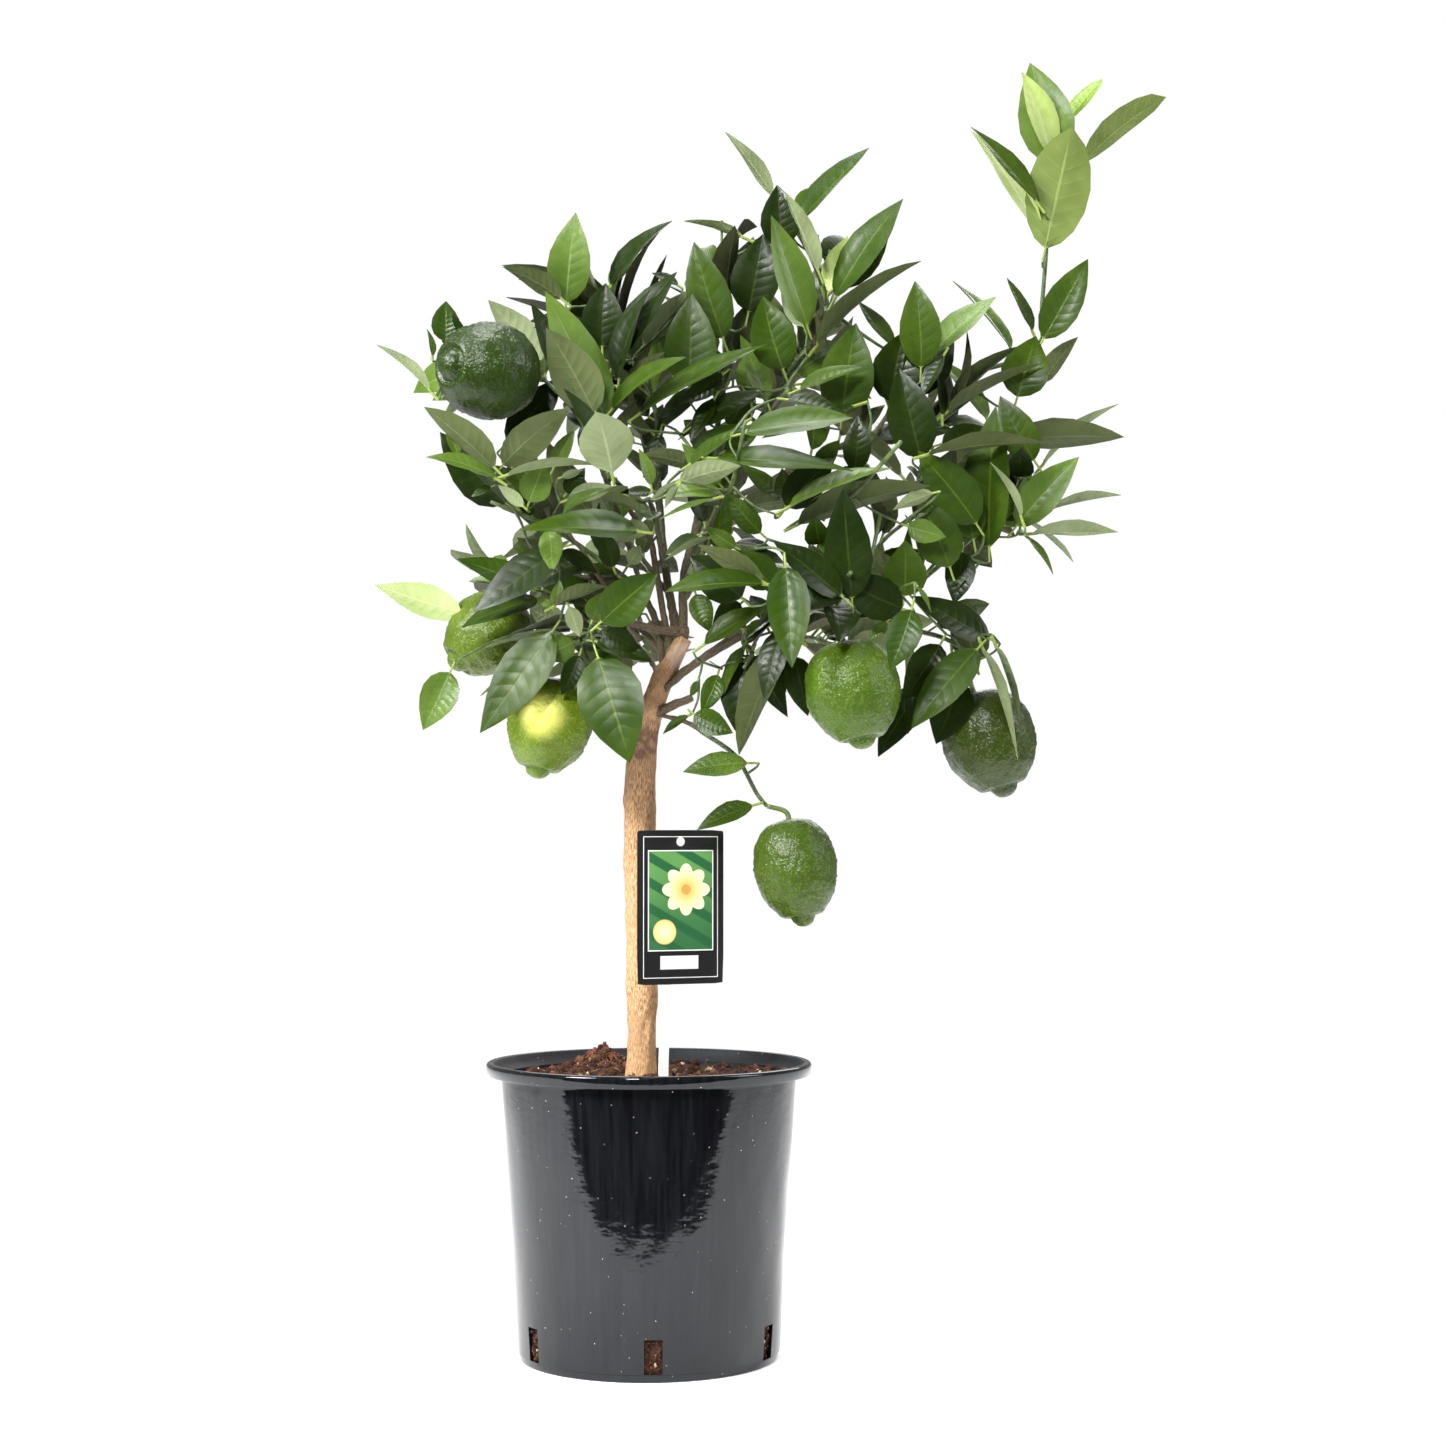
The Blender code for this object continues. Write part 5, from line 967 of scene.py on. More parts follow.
# leaves that show plainly: blade's base (x, y in the 1445 frame, depth in mm), its tip, width in pixels, and the
# side that shows (t upper, u under) with the leaf's tone (Deep, Mid, Fresh, Young, or Pale, a painted sheen of strong
# light)
seenLeaves = {
    "leader": (
        (1045, 250, -20, 1072, 127, -32, 56, "uY"), (1056, 168, -5, 1030, 63, -10, 49, "tF"),
        (1040, 238, -6, 971, 131, -8, 18, "uP"), (1038, 205, -14, 971, 127, -16, 15, "tM"),
        (1080, 168, 0, 1166, 97, 0, 20, "uY"),
        (1062, 130, 10, 1102, 79, 20, 12, "tY"), (1050, 160, -9, 1022, 72, -14, 24, "tP"),
        (1041, 343, -5, 1088, 259, -10, 34, "tM"), (1034, 335, 0, 1007, 278, 5, 9, "tM"),
        (1040, 385, 5, 1078, 337, 10, 18, "uM"),
    ),
    "right_top": (
        (1016, 402, -12, 1036, 336, -16, 46, "tM"), (945, 415, -20, 1043, 363, -25, 13, "uM"),
        (948, 408, -14, 1020, 346, -16, 14, "uM"), (1013, 352, 5, 953, 281, 15, 10, "tF"),
        (988, 424, 0, 936, 357, 10, 16, "tF"),
    ),
    "right_tip": (
        (1038, 465, -15, 1000, 396, -18, 34, "tM"), (1008, 441, -10, 1124, 437, -12, 26, "uM"),
        (1042, 468, -5, 1118, 404, 0, 5, "uF"), (1014, 530, -30, 1079, 457, -40, 34, "tF"),
        (1020, 527, -25, 1018, 478, -25, 12, "tM"), (990, 548, -38, 996, 406, -50, 44, "tM"),
        (1018, 478, -20, 1022, 447, -60, 26, "tD"), (1024, 534, -35, 1053, 574, -45, 6, "tF"),
        (1028, 534, -35, 1118, 532, -40, 13, "uF"), (1042, 512, -35, 1121, 495, -35, 4, "uF"),
        (1022, 522, -48, 990, 462, -58, 5, "uF"), (978, 528, -50, 918, 451, -60, 44, "tM"),
        (974, 546, -40, 952, 468, -42, 34, "tM"), (951, 573, -62, 919, 497, -70, 42, "tM"),
    ),
    "right_middle": (
        (946, 352, -44, 922, 399, -48, 14, "tD"),
        (920, 373, -40, 915, 281, -50, 38, "tM"), (926, 362, -30, 996, 297, -20, 22, "tF"),
        (892, 408, -38, 905, 331, -42, 44, "tD"), (922, 463, -55, 899, 368, -62, 44, "tD"),
        (942, 420, -25, 936, 358, -25, 9, "tD"), (938, 445, -30, 988, 428, -30, 24, "tD"),
        (925, 457, -45, 1045, 443, -40, 12, "uM"), (903, 480, -40, 826, 419, -36, 18, "uM"),
        (855, 435, -20, 885, 405, -20, 14, "uF"),
    ),
    "front_right": (
        (797, 527, -85, 930, 486, -95, 24, "uM"), (936, 493, -85, 893, 510, -90, 14, "uF"),
        (905, 525, -80, 946, 537, -85, 22, "tF"), (903, 600, -80, 905, 540, -95, 40, "tM"),
        (852, 602, -110, 843, 488, -125, 44, "tD"),
    ),
    "right_fruit": (
        (906, 590, -60, 873, 547, -62, 16, "uM"), (962, 548, -45, 954, 604, -50, 28, "tD"),
        (992, 640, -45, 912, 596, -55, 28, "tD"), (978, 668, -25, 965, 600, -30, 36, "uM"),
        (979, 648, -62, 911, 729, -75, 36, "tM"), (962, 675, -30, 936, 744, -30, 40, "tD"),
        (982, 648, -60, 1018, 760, -72, 5, "uF"), (994, 643, -55, 1020, 727, -62, 6, "uF"),
        (942, 640, -55, 902, 700, -62, 34, "tD"), (928, 682, -40, 878, 757, -45, 32, "tD"),
        (905, 690, -52, 908, 734, -54, 8, "tD"),
    ),
    "centre_fruit": (
        (908, 610, -100, 838, 577, -110, 40, "tD"), (912, 605, -105, 890, 670, -112, 32, "tM"),
        (916, 585, -110, 931, 612, -114, 5, "tF"), (888, 620, -95, 868, 641, -98, 12, "tF"),
    ),
    "top": (
        (775, 200, 10, 725, 132, 15, 14, "uF"), (797, 225, -5, 869, 148, -8, 18, "tM"),
        (781, 252, -18, 777, 185, -25, 36, "tD"), (795, 215, 5, 815, 187, 10, 16, "tF"),
        (820, 275, -30, 785, 192, -36, 16, "uF"), (808, 328, -42, 771, 215, -52, 34, "tF"),
        (835, 300, -28, 903, 199, -36, 28, "tM"), (818, 348, -36, 921, 261, -42, 14, "uM"),
        (828, 297, -15, 848, 236, -10, 22, "tP"), (896, 350, -15, 857, 300, -5, 14, "tM"),
        (805, 330, -30, 782, 278, -30, 22, "uF"), (842, 420, -48, 856, 323, -58, 50, "tM"),
        (795, 392, -52, 862, 367, -58, 12, "tM"),
    ),
    "top_middle": (
        (753, 394, -40, 678, 440, -46, 17, "tD"), (745, 423, -60, 681, 470, -66, 14, "tD"),
        (706, 384, -20, 655, 436, -26, 18, "tD"),
        (725, 372, -60, 680, 403, -66, 20, "tD"), (716, 396, -50, 690, 442, -54, 16, "tD"),
        (747, 318, -24, 763, 234, -32, 44, "tD"), (725, 342, -30, 694, 242, -38, 40, "tM"),
        (748, 240, 0, 684, 221, 8, 9, "uP"), (690, 392, -35, 692, 294, -40, 48, "tM"),
        (786, 375, -48, 763, 296, -55, 42, "tM"), (768, 405, -28, 740, 335, -30, 22, "tF"),
        (750, 400, -25, 747, 352, -25, 22, "tF"), (640, 415, -50, 768, 344, -55, 16, "tM"),
        (725, 428, -35, 754, 385, -40, 28, "tM"), (690, 430, -48, 762, 392, -50, 22, "tD"),
    ),
    "front_middle": (
        (858, 405, -70, 762, 438, -76, 14, "tD"),
        (742, 435, -110, 853, 418, -120, 24, "tM"), (715, 459, -105, 853, 471, -112, 20, "tM"),
        (685, 468, -95, 756, 423, -100, 12, "tM"), (722, 452, -90, 760, 430, -94, 16, "tM"),
        (675, 485, -120, 741, 466, -130, 22, "uF"), (783, 512, -90, 835, 458, -98, 34, "tD"),
        (786, 510, -105, 892, 468, -112, 14, "tF"), (815, 472, -85, 840, 440, -90, 18, "tM"),
        (783, 400, -80, 846, 416, -85, 14, "tD"), (853, 475, -70, 858, 415, -75, 26, "tD"),
        (785, 500, -70, 782, 468, -90, 20, "tM"), (785, 500, -68, 740, 463, -70, 16, "tM"),
    ),
    "centre_low": (
        (764, 535, -90, 728, 493, -95, 22, "tM"), (738, 548, -95, 706, 527, -98, 16, "tF"),
        (820, 545, -80, 815, 515, -100, 24, "tM"), (700, 535, -80, 665, 555, -84, 12, "tM"),
        (712, 537, -82, 665, 560, -86, 6, "uF"), (768, 585, -120, 698, 545, -126, 18, "uM"),
        (768, 586, -125, 665, 592, -135, 18, "tM"), (745, 602, -95, 690, 556, -100, 40, "tD"),
        (845, 600, -115, 773, 541, -122, 30, "tD"), (775, 590, -110, 742, 549, -116, 32, "tM"),
        (785, 563, -130, 792, 668, -145, 40, "tM"),
    ),
    "top_left": (
        (566, 308, -20, 576, 213, -28, 39, "tF"), (610, 292, -15, 672, 221, -15, 12, "tD"),
        (608, 288, -12, 640, 251, -5, 14, "tF"), (603, 352, -30, 606, 283, -34, 38, "tD"),
        (565, 303, -24, 503, 267, -30, 20, "uM"), (560, 378, -40, 531, 303, -44, 22, "tD"),
        (545, 365, -20, 488, 300, -20, 30, "uF"), (612, 372, -45, 677, 272, -52, 24, "tD"),
        (620, 385, -52, 650, 290, -56, 18, "tD"), (640, 350, -30, 692, 289, -30, 24, "uF"),
        (680, 287, -20, 652, 273, -15, 8, "tD"),
    ),
    "left_high": (
        (605, 420, -60, 545, 291, -72, 40, "tF"), (596, 418, -72, 546, 328, -84, 44, "uM"),
        (610, 415, -66, 686, 357, -74, 14, "tM"), (625, 385, -45, 665, 352, -45, 18, "uM"),
        (447, 345, -40, 446, 301, -40, 26, "tM"), (432, 358, -50, 427, 329, -50, 6, "tF"),
        (433, 395, -58, 377, 345, -58, 9, "uF"), (498, 472, -95, 424, 407, -105, 24, "uM"),
        (500, 483, -100, 426, 457, -108, 12, "tF"), (458, 458, -85, 446, 424, -85, 12, "tF"),
        (503, 446, -42, 562, 376, -40, 32, "tD"), (500, 470, -88, 570, 408, -86, 34, "uM"),
        (503, 478, -98, 600, 465, -104, 7, "uF"), (528, 505, -85, 545, 462, -92, 30, "tF"),
        (525, 508, -95, 498, 485, -100, 12, "uF"), (492, 486, -90, 471, 497, -92, 7, "tM"),
        (553, 470, -60, 575, 430, -66, 16, "tF"), (565, 495, -50, 585, 468, -56, 18, "tD"),
    ),
    "left_fruit": (
        (466, 614, -5, 375, 585, 0, 30, "uP"), (452, 668, -35, 423, 730, -42, 34, "tF"),
        (566, 628, -20, 530, 610, -20, 24, "uF"),
    ),
    "left": (
        (533, 588, -60, 457, 559, -66, 24, "tM"), (560, 548, -70, 473, 612, -80, 34, "tD"),
        (545, 601, -58, 461, 628, -66, 20, "tM"), (533, 590, -62, 510, 584, -62, 7, "uF"),
        (550, 609, -68, 607, 586, -72, 12, "uM"), (553, 608, -66, 560, 580, -66, 12, "tF"),
        (552, 607, -66, 537, 597, -66, 8, "tF"), (548, 527, -75, 552, 572, -80, 22, "tF"),
        (560, 549, -66, 597, 573, -66, 14, "tD"), (560, 478, -60, 583, 470, -62, 8, "uF"),
        (565, 501, -70, 615, 487, -76, 16, "uF"),
    ),
    "low_left": (
        (553, 630, -60, 480, 733, -72, 44, "tM"), (577, 640, -45, 540, 657, -48, 26, "tF"),
        (580, 652, -50, 561, 695, -52, 20, "tD"), (568, 605, -65, 580, 637, -66, 16, "uF"),
        (592, 622, -72, 606, 592, -80, 28, "tM"), (597, 655, -85, 630, 763, -98, 60, "tM"),
        (592, 642, -60, 652, 662, -66, 20, "tD"), (598, 628, -58, 640, 650, -60, 24, "tD"),
        (648, 618, 15, 668, 658, 20, 30, "uF"), (597, 626, -85, 658, 573, -98, 40, "tM"),
    ),
    "front_left": (
        (662, 430, -40, 655, 488, -44, 20, "tD"), (700, 470, -60, 642, 455, -64, 16, "uM"),
        (641, 533, -95, 520, 530, -110, 26, "tM"), (612, 478, -150, 596, 412, -190, 50, "uF"),
        (610, 474, -140, 563, 388, -146, 20, "tD"), (651, 488, -120, 639, 449, -124, 12, "tF"),
        (655, 492, -115, 620, 493, -118, 10, "tD"), (678, 482, -130, 650, 500, -134, 7, "uF"),
        (679, 484, -130, 665, 508, -132, 8, "uF"), (718, 498, -125, 660, 519, -130, 4, "tF"),
        (628, 565, -30, 640, 545, -30, 16, "uF"), (615, 570, -60, 605, 530, -62, 20, "tD"),
    ),
    "low_middle": (
        (783, 625, -80, 764, 699, -90, 26, "tD"), (795, 652, -70, 808, 716, -72, 28, "tD"),
        (790, 640, -66, 786, 693, -68, 12, "tD"), (789, 645, -85, 739, 755, -92, 28, "uM"),
        (745, 645, -60, 724, 695, -64, 12, "tM"), (718, 672, -60, 701, 713, -66, 20, "tM"),
        (692, 712, -62, 733, 733, -68, 24, "tM"), (698, 680, -58, 690, 697, -60, 8, "tM"),
        (690, 715, -60, 663, 734, -62, 8, "tM"), (700, 648, -80, 768, 606, -90, 18, "tM"),
        (695, 592, -70, 710, 632, -76, 22, "tM"), (742, 602, -78, 712, 626, -84, 24, "tD"),
    ),
    "hanging_fruit": (
        (752, 764, -50, 683, 772, -58, 22, "tF"), (757, 805, -46, 697, 830, -52, 18, "tM"),
    ),
}
# open places in the crown, and then past its outline clockwise from the top: middle and radius in pixels
skyHoles = (
    (680, 246, 18), (716, 236, 10), (600, 472, 12), (630, 480, 10), (640, 505, 9), (680, 525, 15), (585, 545, 14),
    (528, 528, 8), (752, 535, 15), (757, 488, 18), (720, 425, 8), (727, 445, 6), (640, 685, 12), (735, 655, 12),
    (700, 640, 7), (555, 668, 8), (873, 380, 10), (895, 430, 12), (905, 452, 14), (865, 305, 18), (750, 315, 10),
    (980, 395, 16), (1010, 320, 20), (932, 392, 7), (890, 540, 8), (933, 553, 12), (880, 640, 8), (927, 665, 8),
    (750, 650, 8), (778, 690, 6),
    (690, 190, 30), (725, 175, 28), (742, 213, 14), (880, 185, 18), (838, 212, 12), (925, 250, 30), (1075, 60, 16),
    (1100, 215, 40), (1060, 374, 14), (1032, 391, 9), (1090, 483, 12), (1070, 520, 14), (1105, 522, 18),
    (1035, 548, 10), (1055, 575, 16), (975, 582, 16), (1018, 636, 18), (985, 673, 18), (868, 345, 12),
    (690, 752, 12), (715, 785, 16), (600, 735, 14), (470, 685, 10), (415, 612, 16), (455, 578, 14), (436, 520, 32),
    (472, 508, 16), (492, 532, 12), (436, 478, 20), (462, 470, 8), (410, 379, 14), (412, 425, 16), (990, 108, 14),
    (990, 187, 10), (1012, 605, 14), (1022, 562, 10), (455, 288, 18), (612, 262, 14),
)
seenGrowth = {
    "ratio": (0.36, 0.64), "base": 0.10, "shifts": (0, -6, 6, -12, 12, -20, 20, -28, 28),
    "twigRadii": (0.0010, 0.0007), "straight": 0.75, "lead": 0.45, "longTwig": 0.05, "thicker": 1.5,
    "tries": 8, "against": 0.006, "behind": 0.16, "holeShare": 0.85,
    "tones": {"D": "Deep", "M": "Mid", "F": "Fresh", "Y": "Young", "P": "Pale"},
}
growth = {
    "axis": (0.07, 0.02, 0.0), "core": 0.06, "up": 0.9,
    "limbLeaf": 0.75, "limbFrom": (0.4, 0.22), "limbRoom": (1.5, 2.6),  # in front, and at the back
    "stemStraight": 0.004, "stemPoints": 6, "stemRadii": (0.0021, 0.0014),
    "shootRings": 5, "shootRadii": (0.0013, 0.0008), "shootFrom": (0.30, 0.98), "places": 18, "slip": 0.12,
    "ahead": 0.25, "shortest": 0.15, "sag": 0.07, "lastLeaf": (0.92, 1.05),
    "behind": -0.45, "near": 0.62, "far": 0.96, "moreShoots": 3.4,
    "stalkRadii": (0.0018, 0.0018), "stalkBend": 0.35, "stalkSunk": 0.006, "stalkFrom": 0.90,
    "spacing": 0.0125, "firstSeat": 0.3, "lastSeat": 0.08, "sizes": (0.70, 1.05), "smaller": 0.04, "roll": 1.1,
    "opening": (44, 7, 4), "lift": 0.22, "stretch": 0.20, "turns": (0.0, 0.7, -0.7, 1.5, -1.5, 2.4),
    "clear": 0.0006, "kiteFrom": 0.15, "kiteRatio": 0.40, "seenRatio": 0.42,
}


def kite(root, tip, normal, width):
    # a flat four-pointed stand-in for one leaf, used only to see what it would touch
    root = root + (tip - root) * growth["kiteFrom"]
    length, more = np.linalg.norm(tip - root), growth["clear"]
    along = (tip - root) / length
    normal = square(normal, along)
    across = np.cross(normal, along) * (width / 2 * length + more)
    middle = root + along * 0.45 * length + normal * 0.07 * length
    points = [root, middle - across, tip + along * more, middle + across, middle + normal * more]
    return BVHTree.FromPolygons([tuple(p) for p in points], [(0, 4, 1), (1, 4, 2), (2, 4, 3), (3, 4, 0)])


def solidTree(points, faceSets):
    faces = [tuple(f) for faceSet in faceSets for f in faceSet]
    return BVHTree.FromPolygons([tuple(p) for p in points], faces)


def tubeTree(path, radii, more=growth["clear"], sides=3):
    group = tubes(path[None], spread(radii, len(path))[None] + more, sides)
    return solidTree(group["points"].reshape(-1, 3), group["faces"])


def touches(tree, others):
    return any(tree.overlap(other) for other in others)


def boughOf(plan):
    # the wood of the mass's bough, which ends before the line that it follows
    return limbPaths[plan["bough"]][:boughs[plan["bough"]][-1]]


def massStem(name, plan):
    # on from the bough's end, through its line's end to the heart, or through the places that show
    wood, count = boughOf(plan), growth["stemPoints"]
    bend = wood[-1] + unit(wood[-1] - wood[-2]) * growth["stemStraight"]
    if name in seenStems:
        return np.vstack((wood[-1], smoothPath((bend, *(seenPoint(*p) for p in seenStems[name])), count + 2)))
    return np.vstack((wood[-1], smoothPath((bend, limbPaths[plan["bough"]][-1], np.array(plan["heart"])), count)))


def wantedTips(plan, stem, rng):
    # the given tips, and more on golden-angle turns round the heart: heart + reach times a way out times near to far
    heart, reach = np.array(plan["heart"]), np.array(plan["reach"])
    forward = unit(stem[-1] - stem[0])
    tips = [np.array(tip) for tip in plan["tips"]]
    phase = rng.uniform(0.0, 2 * math.pi)
    count = round(plan["shoots"] * growth["moreShoots"])
    for k in range(count):
        height = 1.0 - 2.0 * (k + 0.5) / count
        turn = phase + k * goldenAngle
        flat = math.sqrt(1.0 - height * height)
        out = np.array((flat * math.cos(turn), flat * math.sin(turn), height))
        if np.dot(out, forward) < growth["behind"]:
            out = out - 2 * np.dot(out, forward) * forward
        tips.append(heart + reach * out * rng.uniform(growth["near"], growth["far"]))
    return tips


def shootTo(tip, stem, leafLength, slip):
    # one place where the last leaf reaches the tip straight from the stem, or a sagging line that stops short of it
    places = [pointAt(stem, share) for share in np.linspace(*growth["shootFrom"], growth["places"]) - slip]
    ahead = [at for at, forward in places if np.dot(unit(tip - at), forward) > growth["ahead"]]
    ahead = ahead or [at for at, _ in places]
    near = min(ahead, key=lambda at: abs(np.linalg.norm(tip - at) - leafLength))
    if abs(np.linalg.norm(tip - near) - leafLength) < growth["stretch"] * leafLength:
        return near[None, :]
    start = ahead[-1]
    distance = np.linalg.norm(tip - start)
    end = start + (tip - start) * max(1.0 - leafLength / distance, growth["shortest"])
    via = (start + end) / 2 - up * growth["sag"] * np.linalg.norm(end - start)
    return smoothPath((start, via, end), growth["shootRings"])


def leafSeats(shoot, leafLength, rng):
    # seats for side leaves, spaced back from the tip and turned by the golden angle; lower ones are smaller and wider
    length = np.linalg.norm(np.diff(shoot, axis=0), axis=1).sum()
    phase = rng.uniform(0.0, 2 * math.pi)
    opening, wider, until = growth["opening"]
    seats = []
    for k in range(round(length / growth["spacing"])):
        share = 1.0 - (growth["firstSeat"] + k) * growth["spacing"] / length
        size = leafLength * rng.uniform(*growth["sizes"]) * (1.0 - growth["smaller"] * k)
        roll = rng.uniform(-growth["roll"], growth["roll"])
        if share > growth["lastSeat"]:
            angle = math.radians(opening + wider * min(k, until))
            seats.append((share, phase + k * goldenAngle, angle, size, roll))
    return seats


def upperSide(along, root, roll):
    # up and away from the tree's axis, square to the leaf's length and rolled about it
    out = (root - np.array(growth["axis"])) * (1.0, 1.0, 0.0)
    normal = square(growth["up"] * up + out / max(np.linalg.norm(out), growth["core"]), along)
    return normal * math.cos(roll) + np.cross(along, normal) * math.sin(roll)


def sideLeaf(shoot, seat, turn):
    # along = forward cos opening + outward sin opening, lifted a little
    share, angle, opening, size, roll = seat
    root, forward = pointAt(shoot, share)
    side = unit(np.cross(forward, aside))
    across = np.cross(forward, side)
    out = math.cos(angle + turn) * side + math.sin(angle + turn) * across
    along = unit(math.cos(opening) * forward + math.sin(opening) * out + growth["lift"] * up)
    return root, root + along * size, upperSide(along, root, roll)


def within(plan, point, room):
    # inside the ellipsoid of the mass's reach, made larger by room
    away = (point - np.array(plan["heart"])) / np.array(plan["reach"])
    return np.dot(away, away) < room ** 2


def fruitStalk(centre, axis, length, stem):
    # from the nearest place on the stem, arriving at the fruit's top along its axis
    axis = unit(np.array(axis))
    top = np.array(centre) - axis * length / 2 * growth["stalkFrom"]
    start = min(stem[1:], key=lambda place: np.linalg.norm(place - top))
    via = top - axis * growth["stalkBend"] * np.linalg.norm(top - start)
    return smoothPath((start, via, top + axis * growth["stalkSunk"]), 8)


def seenLeaf(baseX, baseY, baseDepth, tipX, tipY, tipDepth, wide, kind, shift=0):
    # turn about the leaf's length = acos(seen width / real width), on from the side that faces the camera
    root, tip = seenPoint(baseX, baseY, baseDepth + shift), seenPoint(tipX, tipY, tipDepth + shift)
    length = np.linalg.norm(tip - root)
    along = (tip - root) / length
    seenWidth = wide * np.linalg.norm(eye - root) / focal
    ratio = min(max(seenWidth / length, seenGrowth["ratio"][0]), seenGrowth["ratio"][1])
    turn = math.acos(min(1.0, seenWidth / (ratio * length)))
    turn = math.pi - turn if kind[0] == "u" else turn
    flat = square(unit(eye - root), along)
    across = np.cross(along, flat)
    normals = [flat * math.cos(turn) + across * math.sin(turn) * way for way in (1, -1)]
    root = root - along * seenGrowth["base"] * length
    return root, tip, max(normals, key=lambda n: n[2]), ratio, seenGrowth["tones"][kind[1]]


def twigTo(root, tip, wood, fruitTrees):
    # from the nearest wood that the leaf points away from, bending into the leaf's own line
    along, g = unit(tip - root), seenGrowth
    cost = [np.linalg.norm(root - p) + g["against"] * (np.dot(unit(root - p), along) < -0.2) for p in wood]
    for k in np.argsort(cost)[:g["tries"]]:
        start, far = wood[k], np.linalg.norm(root - wood[k])
        via = g["straight"] * (start + root) / 2 + (1 - g["straight"]) * (root - along * g["lead"] * far)
        path = smoothPath((start, via, root), 6)
        if not touches(tubeTree(path, (0.001, 0.001), more=0.0), fruitTrees):
            break
    return path


def inTheWay(root, tip, normal, seenTree):
    # a grown leaf stays out of the open places, and behind every leaf that shows plainly
    along, across = tip - root, np.cross(unit(normal), tip - root) * growth["seenRatio"] / 2
    shares = np.array(((0.25, 0.5), (0.25, -0.5), (0.55, 1), (0.55, 0), (0.55, -1), (0.8, 0.6), (0.8, -0.6), (1, 0)))
    points = root + shares[:, :1] * along + shares[:, 1:] * across
    holes = np.array(skyHoles, float)
    apart = np.linalg.norm(seenPixels(points)[:, None] - holes[None, :, :2], axis=2)
    if (apart < holes[:, 2] * seenGrowth["holeShare"]).any():
        return True
    return any(seenTree.ray_cast(tuple(p), tuple(unit(p - eye)), seenGrowth["behind"])[0] is not None for p in points)


lemonShape = {
    "shoulder": 0.945, "blunt": 0.485, "noseFrom": 0.915, "nose": 0.27, "dimple": 0.03, "ringAt": 0.34,
    "ringWide": 0.050, "ringDeep": 0.11, "ringLip": 0.035, "rings": 72, "sides": 96,
    "lumps": ((0.00050, 0.020, 12), (0.00024, 0.0060, 24), (0.00036, 0.0028, 30)),  # height, length, sines
}


def lemonGrid(centre, axis, width, length, seed):
    # turned about its axis: radius = half width times a blunt sine, drawn in at the neck of the nipple, with a
    # groove round it and a dimple at the stalk, then pushed in and out by lumps of three sizes
    s, axis = lemonShape, unit(np.array(axis))
    side = unit(np.cross(axis, aside))
    even = np.linspace(0, 1, s["rings"])
    t = 0.4 * even + 0.6 * (0.5 - 0.5 * np.cos(math.pi * even))
    body = np.clip(t / s["shoulder"], 0, 1)
    radius = (4 * body * (1 - body)) ** s["blunt"] * (1 + 0.10 * (0.45 - body))
    cap = np.clip(1 - ((t - s["noseFrom"]) / (1 - s["noseFrom"])) ** 2, 0, None) ** 0.5
    cap = s["nose"] * np.where(t > s["noseFrom"], cap, np.exp(-((t - s["noseFrom"]) / 0.035) ** 2))
    radius = (radius**4 + cap**4) ** 0.25
    ring = np.exp(-(((radius - s["ringAt"]) / s["ringWide"]) ** 2)) * (t > 0.5)
    swell = np.exp(-(((radius - s["ringAt"] - 0.15) / 0.08) ** 2)) * (t > 0.5)
    height = (t * 2.0 - 1.0) * length / 2 + s["dimple"] * length * np.exp(-((t / 0.05) ** 2))
    height = height - (s["ringDeep"] * ring - s["ringLip"] * swell) * width / 2
    a = turnsOf(s["sides"])
    out = np.cos(a)[:, None] * side + np.sin(a)[:, None] * np.cross(axis, side)
    grid = np.array(centre) + height[:, None, None] * axis + (radius * width / 2)[:, None, None] * out
    lumpy = sum(high * ripple(grid, seed + k, long, terms) for k, (high, long, terms) in enumerate(s["lumps"]))
    fade = np.sin(math.pi * np.clip(t, 0.02, 0.98)) ** 0.3
    return grid + out * (lumpy * fade[:, None])[..., None]


def placeSeenLeaves(stems, solid, fruitTrees, blades):
    # every plainly visible leaf, moved in depth until it is clear of what stands already, and its twig
    leaves, twigs, corners, faces = [], [], [], []
    for name, rows in seenLeaves.items():
        chosen = []
        for row in rows:
            best = None
            for shift in seenGrowth["shifts"]:
                leaf = seenLeaf(*row, shift=shift)
                off = kite(*leaf[:4])
                if touches(off, solid):
                    continue
                clear = not touches(off, blades)
                if best is None or clear:
                    best = leaf, off
                if clear:
                    break
            if best:
                chosen.append(best[0])
                blades.append(best[1])
        wood = list(smoothPath(stems[name][1:], 16)) + list(smoothPath(boughOf(masses[name]), 12)[5:])
        chosen.sort(key=lambda leaf: min(np.linalg.norm(leaf[0] - p) for p in wood))
        for leaf in chosen:
            root, tip, normal, ratio, _ = leaf
            path, (thick, thin) = twigTo(root, tip, wood, fruitTrees), seenGrowth["twigRadii"]
            wood += list(path[2:])
            long = np.linalg.norm(path[-1] - path[0]) > seenGrowth["longTwig"]
            twigs.append((path, (thick * seenGrowth["thicker"] if long else thick, thin)))
            across, middle = np.cross(normal, tip - root) * ratio / 2, root + 0.5 * (tip - root)
            faces.append(range(len(corners), len(corners) + 4))
            corners += [tuple(p) for p in (root, middle - across, tip, middle + across)]
        leaves += chosen
    print("plain leaves placed:", len(leaves), "of", sum(len(rows) for rows in seenLeaves.values()))
    return leaves, twigs, BVHTree.FromPolygons(corners, faces)


def others(name, solid, wood):
    return solid + [tree for other, trees in wood.items() if other != name for tree in trees]


